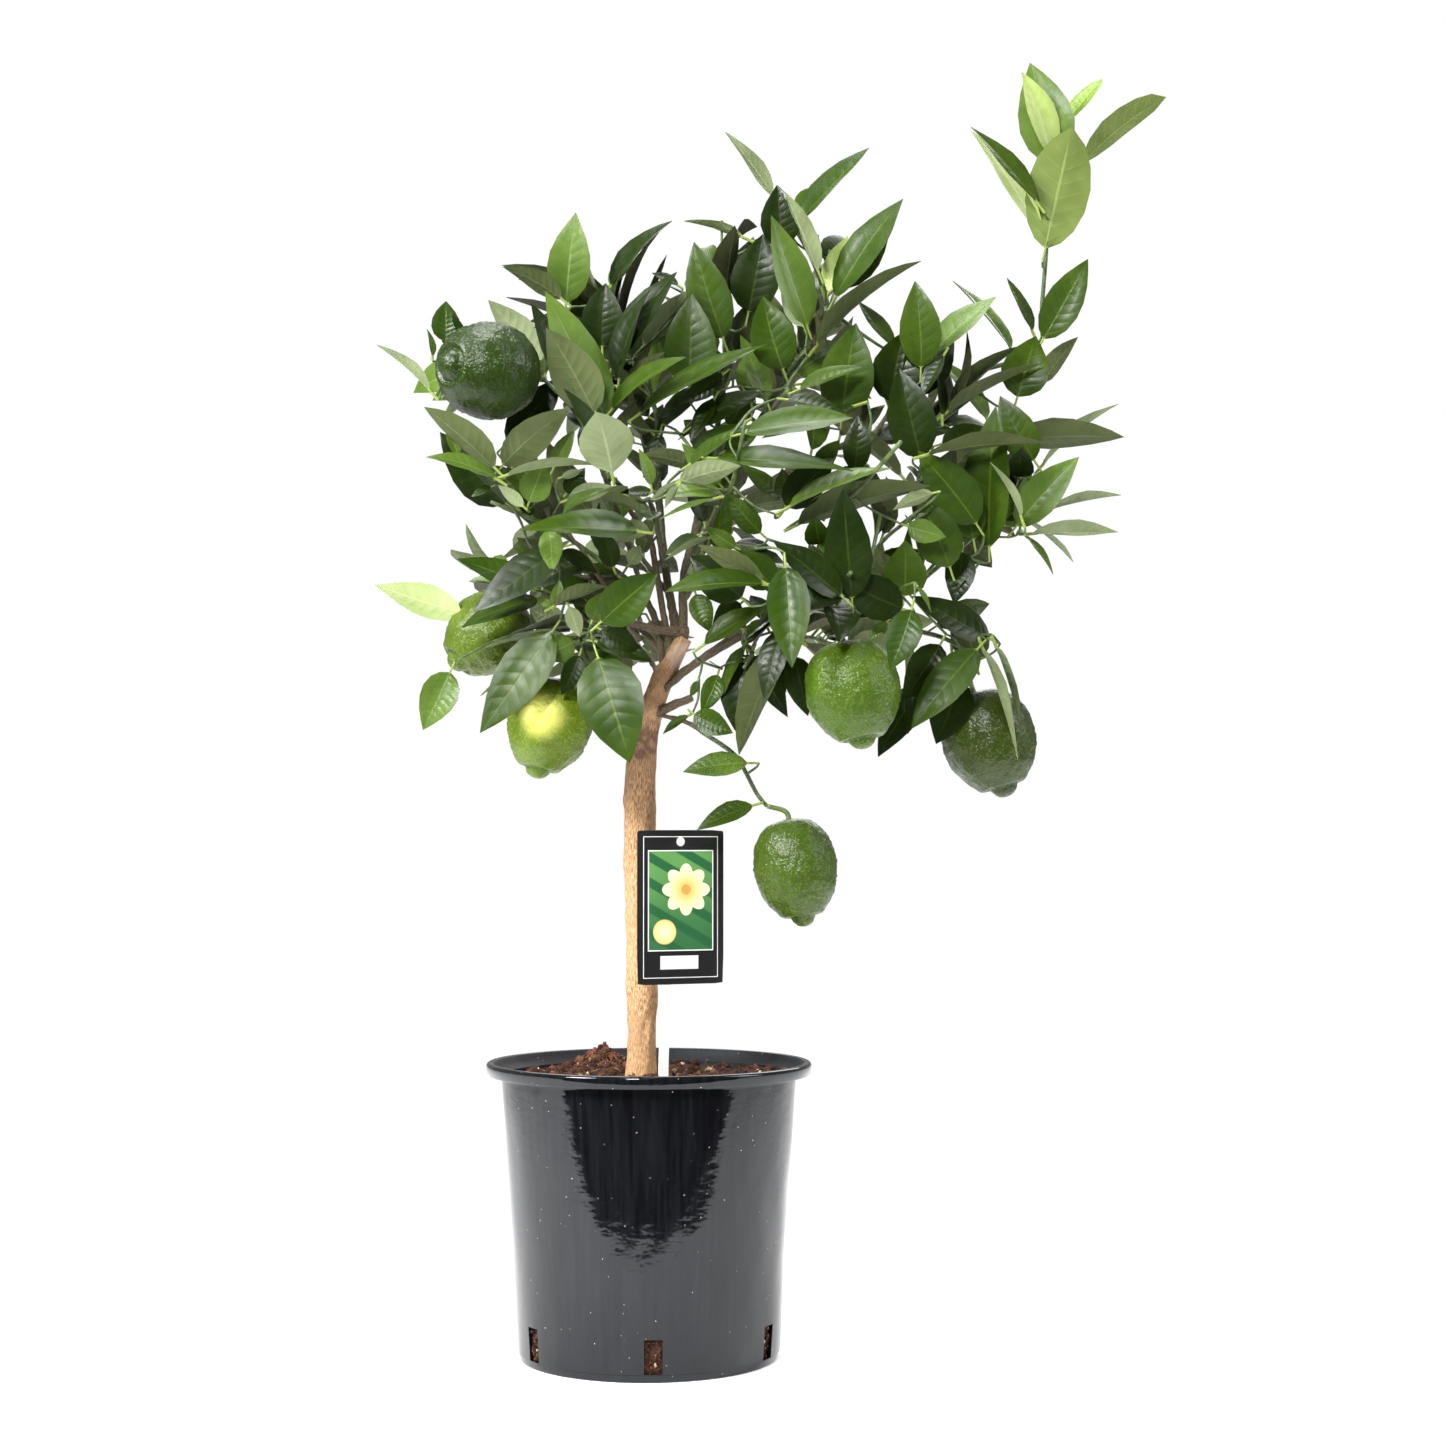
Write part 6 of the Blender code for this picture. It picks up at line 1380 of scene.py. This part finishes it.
def growShoots(stems, wood, solid):
    # each mass's shoots, with the place where the last leaf ends, and its lines: path, seats, room for the leaves
    shoots, lines = {}, {}
    for name, plan in masses.items():
        rng, standing = np.random.default_rng(plan["seed"]), others(name, solid, wood)
        limb, back = boughOf(plan), name.startswith("back")
        stemSeats, limbSeats = leafSeats(stems[name][1:], plan["leaf"], rng), []
        if name not in seenStems:
            limbSeats = leafSeats(limb, plan["leaf"] * growth["limbLeaf"], rng)
        limbSeats = [seat for seat in limbSeats if seat[0] > growth["limbFrom"][back]]
        shoots[name], lines[name] = [], [] if name in seenStems else [(stems[name], stemSeats, 1.0)]
        for tip in wantedTips(plan, stems[name], rng):
            lastLeaf = plan["leaf"] * rng.uniform(*growth["lastLeaf"])
            shoot = shootTo(tip, stems[name], lastLeaf, rng.uniform(0.0, growth["slip"]))
            if len(shoot) > 1:
                seats, tree = leafSeats(shoot, plan["leaf"], rng), tubeTree(shoot, growth["shootRadii"])
                if touches(tree, standing):
                    continue
                lines[name].append((shoot, seats, 1.0))
                wood[name].append(tree)
            shoots[name].append((shoot, tip))
        lines[name].append((limb, limbSeats, growth["limbRoom"][back]))
    return shoots, lines


def growLeaves(shoots, lines, wood, solid, blades, seenTree):
    # a last leaf on each shoot and side leaves on each line; every leaf takes the first of its turns that is clear
    leaves = []
    for name, plan in masses.items():
        standing, wanted = others(name, solid, wood), []
        for shoot, tip in shoots[name]:
            wanted.append([(shoot[-1], tip, upperSide(unit(tip - shoot[-1]), shoot[-1], 0.0))])
        for path, seats, room in lines[name]:
            for seat in seats:
                choices = [sideLeaf(path, seat, turn) for turn in growth["turns"]]
                wanted.append([choice for choice in choices if within(plan, choice[1], room)])
        for choices in wanted:
            for root, tip, normal in choices:
                off = kite(root, tip, normal, growth["kiteRatio"])
                if not (inTheWay(root, tip, normal, seenTree) or touches(off, standing) or touches(off, blades)):
                    blades.append(off)
                    leaves.append((root, tip, normal, 0.0, None))
                    break
    return leaves


def growCrown():
    # stems, stalks and fruit first, then the leaves that show plainly, all shoots, and the other leaves last
    stems = {name: massStem(name, plan) for name, plan in masses.items()}
    stalks = {name: fruitStalk(c, axis, length, stems[name]) for name, (c, axis, _, length) in lemons.items()}
    fruits = {name: lemonGrid(*lemon, seed=60 + 3 * k) for k, (name, lemon) in enumerate(lemons.items())}
    fruitTrees = [solidTree(grid.reshape(-1, 3), ringFaces(1, *grid.shape[:2])[:1]) for grid in fruits.values()]
    limbs = [tubeTree(limbPaths[name][:len(radii)], radii, sides=6) for name, radii in limbRadii.items()]
    card = bpy.data.objects["labelCard"].data
    solid = fruitTrees + limbs + [solidTree([v.co for v in card.vertices], [[p.vertices for p in card.polygons]])]
    blades = []
    leaves, seenTwigs, seenTree = placeSeenLeaves(stems, solid, fruitTrees, blades)
    wood = {name: [tubeTree(stem, growth["stemRadii"])] for name, stem in stems.items()}
    for name, stalk in stalks.items():
        wood[name].append(tubeTree(stalk, growth["stalkRadii"]))
    shoots, lines = growShoots(stems, wood, solid)
    leaves += growLeaves(shoots, lines, wood, solid, blades, seenTree)
    twigs = [(shoot, growth["shootRadii"]) for name in masses for shoot, _ in shoots[name] if len(shoot) > 1]
    return stems, stalks, fruits, twigs + seenTwigs, leaves


stems, stalks, fruits, twigs, leaves = growCrown()
print("crown grown:", len(leaves), "leaves,", len(twigs), "shoots")


# twigs: green stems, shoots and fruit stalks

def foliage(piece, names):
    settle(piece, "foliage", *["leaves_" + name for name in names])


def makeTwigs():
    twig = mottled("greenTwig", (0.030, 0.052, 0.014), (0.085, 0.130, 0.035), 0.5, 160.0, (900.0, 2.0), 0.3)
    stalk = mottled("stalkGreen", (0.060, 0.095, 0.020), (0.16, 0.20, 0.055), 0.5, 160.0, (900.0, 2.0), 0.3)
    stemPaths = [smoothPath(stem, 14) for stem in stems.values()]
    stemRadii = [spread((limbRadii[masses[name]["bough"]][-1], growth["stemRadii"][1]), 14) for name in stems]
    shootPaths = [smoothPath(path, 9) for path, _ in twigs]
    points, faces, uvs = joined([tubes(stemPaths, stemRadii, 8),
                                 tubes(shootPaths, [spread(radii, 9) for _, radii in twigs], 7)])
    foliage(newPiece("twigs", points, faces, [twig], uvSets=uvs), masses)
    swell = np.interp(np.linspace(0, 1, 16), (0, 0.7, 0.9, 1.0), (0.9, 1.0, 1.5, 2.1))
    radii = growth["stalkRadii"][0] * swell[None] * np.ones((len(stalks), 1))
    points, faces, uvs = joined([tubes([smoothPath(path, 16) for path in stalks.values()], radii, 10)])
    foliage(newPiece("fruitStalks", points, faces, [stalk], uvSets=uvs), lemons)


# leaves: a folded, arched blade on a short petiole; ring by ring, half width = sine-like outline of the share along

leafShape = {
    "petiole": 0.010, "petioleMost": 0.16, "petioleRadius": 0.0008,
    "width": (0.34, 0.44), "fold": (0.16, 0.50), "bulge": 0.07, "sharp": 75,
    "arch": (0.01, 0.11), "bend": 0.06, "twist": 0.5, "wave": 0.05, "thick": 0.00018, "rib": 0.0005, "seed": 8,
    "roundBase": 0.66, "roundTip": 1.04, "youngTip": 0.70, "widest": 0.42, "seen": 0.62,
    "shares": (0.0, 0.07, 0.19, 0.36, 0.54, 0.72, 0.88, 1.0),
}


def leafArrays(roots, tips, normals, widths, young, rng):
    # eight points to a ring: margin, half way and rib on the upper side, and back along the under side
    n, p = len(roots), leafShape
    chord = tips - roots
    length = np.linalg.norm(chord, axis=1)
    along = chord / length[:, None]
    normals = square(normals, along)
    across = np.cross(normals, along)
    petiole = np.minimum(p["petiole"], p["petioleMost"] * length)
    width = length * np.where(widths > 0, widths, rng.uniform(*p["width"], n))
    fold, arch = rng.uniform(*p["fold"], n), rng.uniform(*p["arch"], n)
    bend, twist = rng.uniform(-p["bend"], p["bend"], n), rng.uniform(-p["twist"], p["twist"], n)
    calm = np.where(widths > 0, p["seen"], 1.0)  # leaves that show plainly keep closer to their outline
    arch, bend, twist, fold = arch * calm, bend * calm, twist * calm, fold * (0.4 + 0.6 * calm)
    phase = rng.uniform(0, 2 * math.pi, n)
    blade = np.concatenate(([0.0], p["shares"]))
    run = (petiole / length)[:, None] + (1 - petiole / length)[:, None] * np.array(p["shares"])
    run = np.concatenate((np.zeros((n, 1)), run), 1)
    pointed = np.where(young, p["youngTip"], p["roundTip"])[:, None]
    outline = (blade / p["widest"]) ** p["roundBase"] * ((1 - blade) / (1 - p["widest"])) ** pointed
    half = np.maximum(width[:, None] / 2 * outline, p["petioleRadius"] * np.where(blade < 0.5, 1.0, 0.15))
    rise = (4 * run * (1 - run))[..., None]
    middle = roots[:, None] + chord[:, None] * run[..., None]
    middle = middle + normals[:, None] * (arch * length)[:, None, None] * rise
    middle = middle + across[:, None] * (bend * length)[:, None, None] * rise
    forward = unit(np.gradient(middle, axis=1))
    turn = (twist[:, None] * (run - 0.3))[..., None]
    upper = square(normals[:, None], forward)
    upper = upper * np.cos(turn) + np.cross(upper, forward) * np.sin(turn)
    t = np.array((1.0, 0.5, 0.0, -0.5, -1.0, -0.5, 0.0, 0.5))
    face = np.array((0.0, 1.0, 1.0, 1.0, 0.0, -1.0, -1.0, -1.0))
    under = np.array((0.0, 0.0, 0.0, 0.0, 0.0, 0.0, 1.0, 0.0))
    isBlade, wide, share = (np.arange(len(blade)) > 1)[:, None] * 1.0, half[..., None], blade[:, None]
    height = fold[:, None, None] * np.abs(t) * wide * isBlade
    height = height + p["bulge"] * wide * 4 * np.abs(t) * (1 - np.abs(t)) * isBlade
    height = height + face * (p["thick"] + p["petioleRadius"] * 0.8 * (1 - isBlade))
    height = height - under * p["rib"] * (1 - 0.8 * share)
    height = height + p["wave"] * wide * isBlade * t**2 * np.sin(8.0 * share + phase[:, None, None] + 1.7 * t)
    sideways = np.cross(upper, forward)[:, :, None] * (wide * t)[..., None]
    return middle[:, :, None] + sideways + upper[:, :, None] * height[..., None], blade


def leafUvs(n, blade):
    # u from one margin to the other and back, v from root to tip
    u = np.array((1.0, 0.75, 0.5, 0.25, 0.0, 0.25, 0.5, 0.75, 1.0))
    corner = np.empty((len(blade) - 1, 8, 4, 2))
    corner[..., (0, 3), 0], corner[..., (1, 2), 0] = u[:8, None], u[1:, None]
    corner[..., :2, 1], corner[..., 2:, 1] = blade[:-1, None, None], blade[1:, None, None]
    return np.tile(corner.reshape(-1, 4, 2), (n, 1, 1)), np.zeros((2 * n, 8, 2))


def ribbed(f, tone, rib, veinShare, ribShare):
    # paler along the midrib and along side veins that run slanting forward from it, all fading before the narrow
    # tip; gives the midrib, and the quilted swelling between the veins, for the bumps
    parts = f.split(f.surface())
    off = f.times(f.math("ABSOLUTE", f.minus(parts["X"], 0.5)), 2.0)
    petiole, tip = f.grey(parts["Y"], 0.025, 0.0), f.grey(parts["Y"], 0.96, 0.70)
    midrib = f.math("MAXIMUM", f.times(f.grey(off, 0.07, 0.02), tip), petiole)
    along = f.times(f.minus(parts["Y"], f.times(off, 0.13)), 8.5)
    wave = f.math("ABSOLUTE", f.minus(f.math("FRACT", along), 0.5))
    veins = f.times(f.grey(wave, 0.07, 0.015), f.times(f.grey(off, 0.95, 0.6), tip))
    quilt = f.times(f.math("SINE", f.times(wave, math.pi)), f.times(f.grey(off, 0.95, 0.5), tip))
    tone = f.mix(f.times(veins, veinShare), tone, rib)
    f.colour(f.mix(petiole, f.mix(f.times(midrib, ribShare), tone, rib), petioleColour))
    return midrib, quilt


def leafTop(name, deep, light, rib):
    f = Finish(name, 0.36, 0.23)
    where = f.place()
    tone = f.ramp(f.noise(where, 19.0, 2.0), (0.36, deep), (0.64, light))
    tone = f.mix(f.grey(f.noise(where, 150.0, 3.0), 0.35, 0.7, 0.0, 0.4), tone, deep)
    midrib, quilt = ribbed(f, tone, rib, 0.14, 0.60)
    f.rough(f.grey(f.noise(where, 60.0, 3.0), 0.3, 0.7, 0.28, 0.42))
    f.bump(f.plus(quilt, f.times(midrib, -0.5)), 0.0007, 0.20)
    f.bump(f.noise(where, 110.0, 3.0, 0.6), 0.0010, 0.16)
    return f.material


def leafUnder(name, deep, light, rib):
    f = Finish(name, 0.62, 0.18)
    tone = f.ramp(f.noise(f.place(), 30.0, 2.0), (0.35, deep), (0.65, light))
    midrib, quilt = ribbed(f, tone, rib, 0.25, 0.7)
    f.bump(f.minus(midrib, f.times(quilt, 0.8)), 0.0006, 0.5)
    return f.material


petioleColour = (0.22, 0.29, 0.06)
# each tone: upper side deep and light, its veins; under side deep and light, its veins
leafTones = {
    "Deep": ((0.006, 0.014, 0.0007), (0.012, 0.025, 0.0014), (0.031, 0.051, 0.0047),
             (0.033, 0.041, 0.0144), (0.056, 0.061, 0.0266), (0.097, 0.095, 0.0466)),
    "Mid": ((0.017, 0.039, 0.0017), (0.037, 0.069, 0.0037), (0.075, 0.118, 0.0118),
            (0.054, 0.071, 0.0220), (0.084, 0.106, 0.0360), (0.125, 0.153, 0.0600)),
    "Fresh": ((0.055, 0.102, 0.0110), (0.094, 0.156, 0.0240), (0.165, 0.235, 0.0600),
              (0.130, 0.164, 0.0720), (0.200, 0.243, 0.1200), (0.285, 0.332, 0.1750)),
    "Young": ((0.104, 0.185, 0.0093), (0.164, 0.263, 0.0211), (0.245, 0.352, 0.0421),
              (0.086, 0.125, 0.0240), (0.134, 0.180, 0.0430), (0.200, 0.255, 0.0800)),
    # painted sheen: leaf colours lightened and greyed to stand for leaves washed out by strong light
    "Pale": ((0.220, 0.300, 0.0700), (0.330, 0.420, 0.1300), (0.400, 0.480, 0.1800),
             (0.260, 0.330, 0.1150), (0.360, 0.430, 0.1900), (0.430, 0.500, 0.2400)),
}
toneShares = {"Deep": 0.36, "Mid": 0.40, "Fresh": 0.24}


def makeLeaves():
    rng = np.random.default_rng(leafShape["seed"])
    roots, tips, normals, widths, tones = zip(*leaves)
    points, blade = leafArrays(*(np.array(part) for part in (roots, tips, normals, widths)),
                               np.array([tone == "Young" for tone in tones]), rng)
    dealt = np.searchsorted(np.cumsum(list(toneShares.values())), rng.random(len(leaves))).clip(0, 2)
    order = list(leafTones)
    tones = np.array([order.index(tone) if tone else deal for tone, deal in zip(tones, dealt)])
    for k, (name, row) in enumerate(leafTones.items()):
        chosen = points[tones == k]
        quads, caps = ringFaces(len(chosen), len(blade), 8)
        quadUvs, capUvs = leafUvs(len(chosen), blade)
        sideOf = np.tile(np.array((0, 0, 0, 0, 1, 1, 1, 1)), len(chosen) * (len(blade) - 1))
        below = sideOf == 1  # split along the same diagonal as the face above
        quads[below], quadUvs[below] = np.roll(quads[below], 1, axis=1), np.roll(quadUvs[below], 1, axis=1)
        materials = [leafTop("leafTop" + name, *row[:3]), leafUnder("leafUnder" + name, *row[3:])]
        piece = newPiece("leaves" + name, chosen.reshape(-1, 3), [quads, caps], materials,
                         uvSets=[quadUvs, capUvs], kinds=[sideOf, np.ones(len(caps))])
        piece.data.set_sharp_from_angle(angle=math.radians(leafShape["sharp"]))
        foliage(piece, masses)


makeTwigs()
makeLeaves()
print("leaves made")


# lemons: green, pebbled, glossy, with painted shade in the hollows between the pebbles; each with its own tone

lemonTones = {
    "right_fruit": ((0.022, 0.042, 0.0015), (0.047, 0.072, 0.0040)),
    "centre_fruit": ((0.045, 0.088, 0.0023), (0.091, 0.158, 0.0051)),
    "left_high": ((0.012, 0.028, 0.0009), (0.028, 0.056, 0.0020)),
    "left_fruit": ((0.067, 0.110, 0.0047), (0.112, 0.168, 0.0109)),
    "low_left": ((0.085, 0.140, 0.0035), (0.152, 0.221, 0.0078)),
    "hanging_fruit": ((0.033, 0.065, 0.0018), (0.065, 0.108, 0.0039)),
}
# a round yellow patch on the front of one lemon: its lemon, middle, radius and colour
yellowPatch = {"mass": "low_left", "place": (-0.073, -0.050, 0.446), "radius": 0.022, "colour": (0.80, 0.80, 0.16)}


def lemonFinish(name, deep, light):
    f = Finish("peel_" + name, 0.38, 0.40)
    where = f.place()
    pebblesAndHollowShade = f.cells(where, 500.0)
    tone = f.ramp(f.noise(where, 26.0, 3.0), (0.34, deep), (0.66, light))
    # painted shade: the hollows between the pebbles darker, the pebbles' tops lighter
    tone = f.mix(f.grey(pebblesAndHollowShade, 0.15, 0.60, 0.0, 0.75), tone, tuple(c * 0.8 for c in deep))
    if name == yellowPatch["mass"]:
        near = f.vector("DISTANCE", where, yellowPatch["place"])
        tone = f.mix(f.grey(near, yellowPatch["radius"], 0.004, 0.0, 0.9), tone, yellowPatch["colour"])
    f.colour(tone)
    f.rough(f.grey(f.noise(where, 70.0, 3.0), 0.3, 0.7, 0.32, 0.42))
    f.bump(f.grey(pebblesAndHollowShade, 0.0, 0.65, 1.0, 0.0), 0.0005, 0.50)
    f.bump(f.noise(where, 330.0, 3.0), 0.0008, 0.40)
    return f.material


def makeLemons():
    groups = [{"points": grid, "faces": ringFaces(1, *grid.shape[:2]), "uvs": ()} for grid in fruits.values()]
    points, faces, _ = joined(groups)
    kinds = [np.full(len(face), k) for k, group in enumerate(groups) for face in group["faces"]]
    materials = [lemonFinish(name, *lemonTones[name]) for name in fruits]
    piece = newPiece("lemons", points, faces, materials, kinds=kinds)
    foliage(piece, lemons)


makeLemons()
print("lemons made")
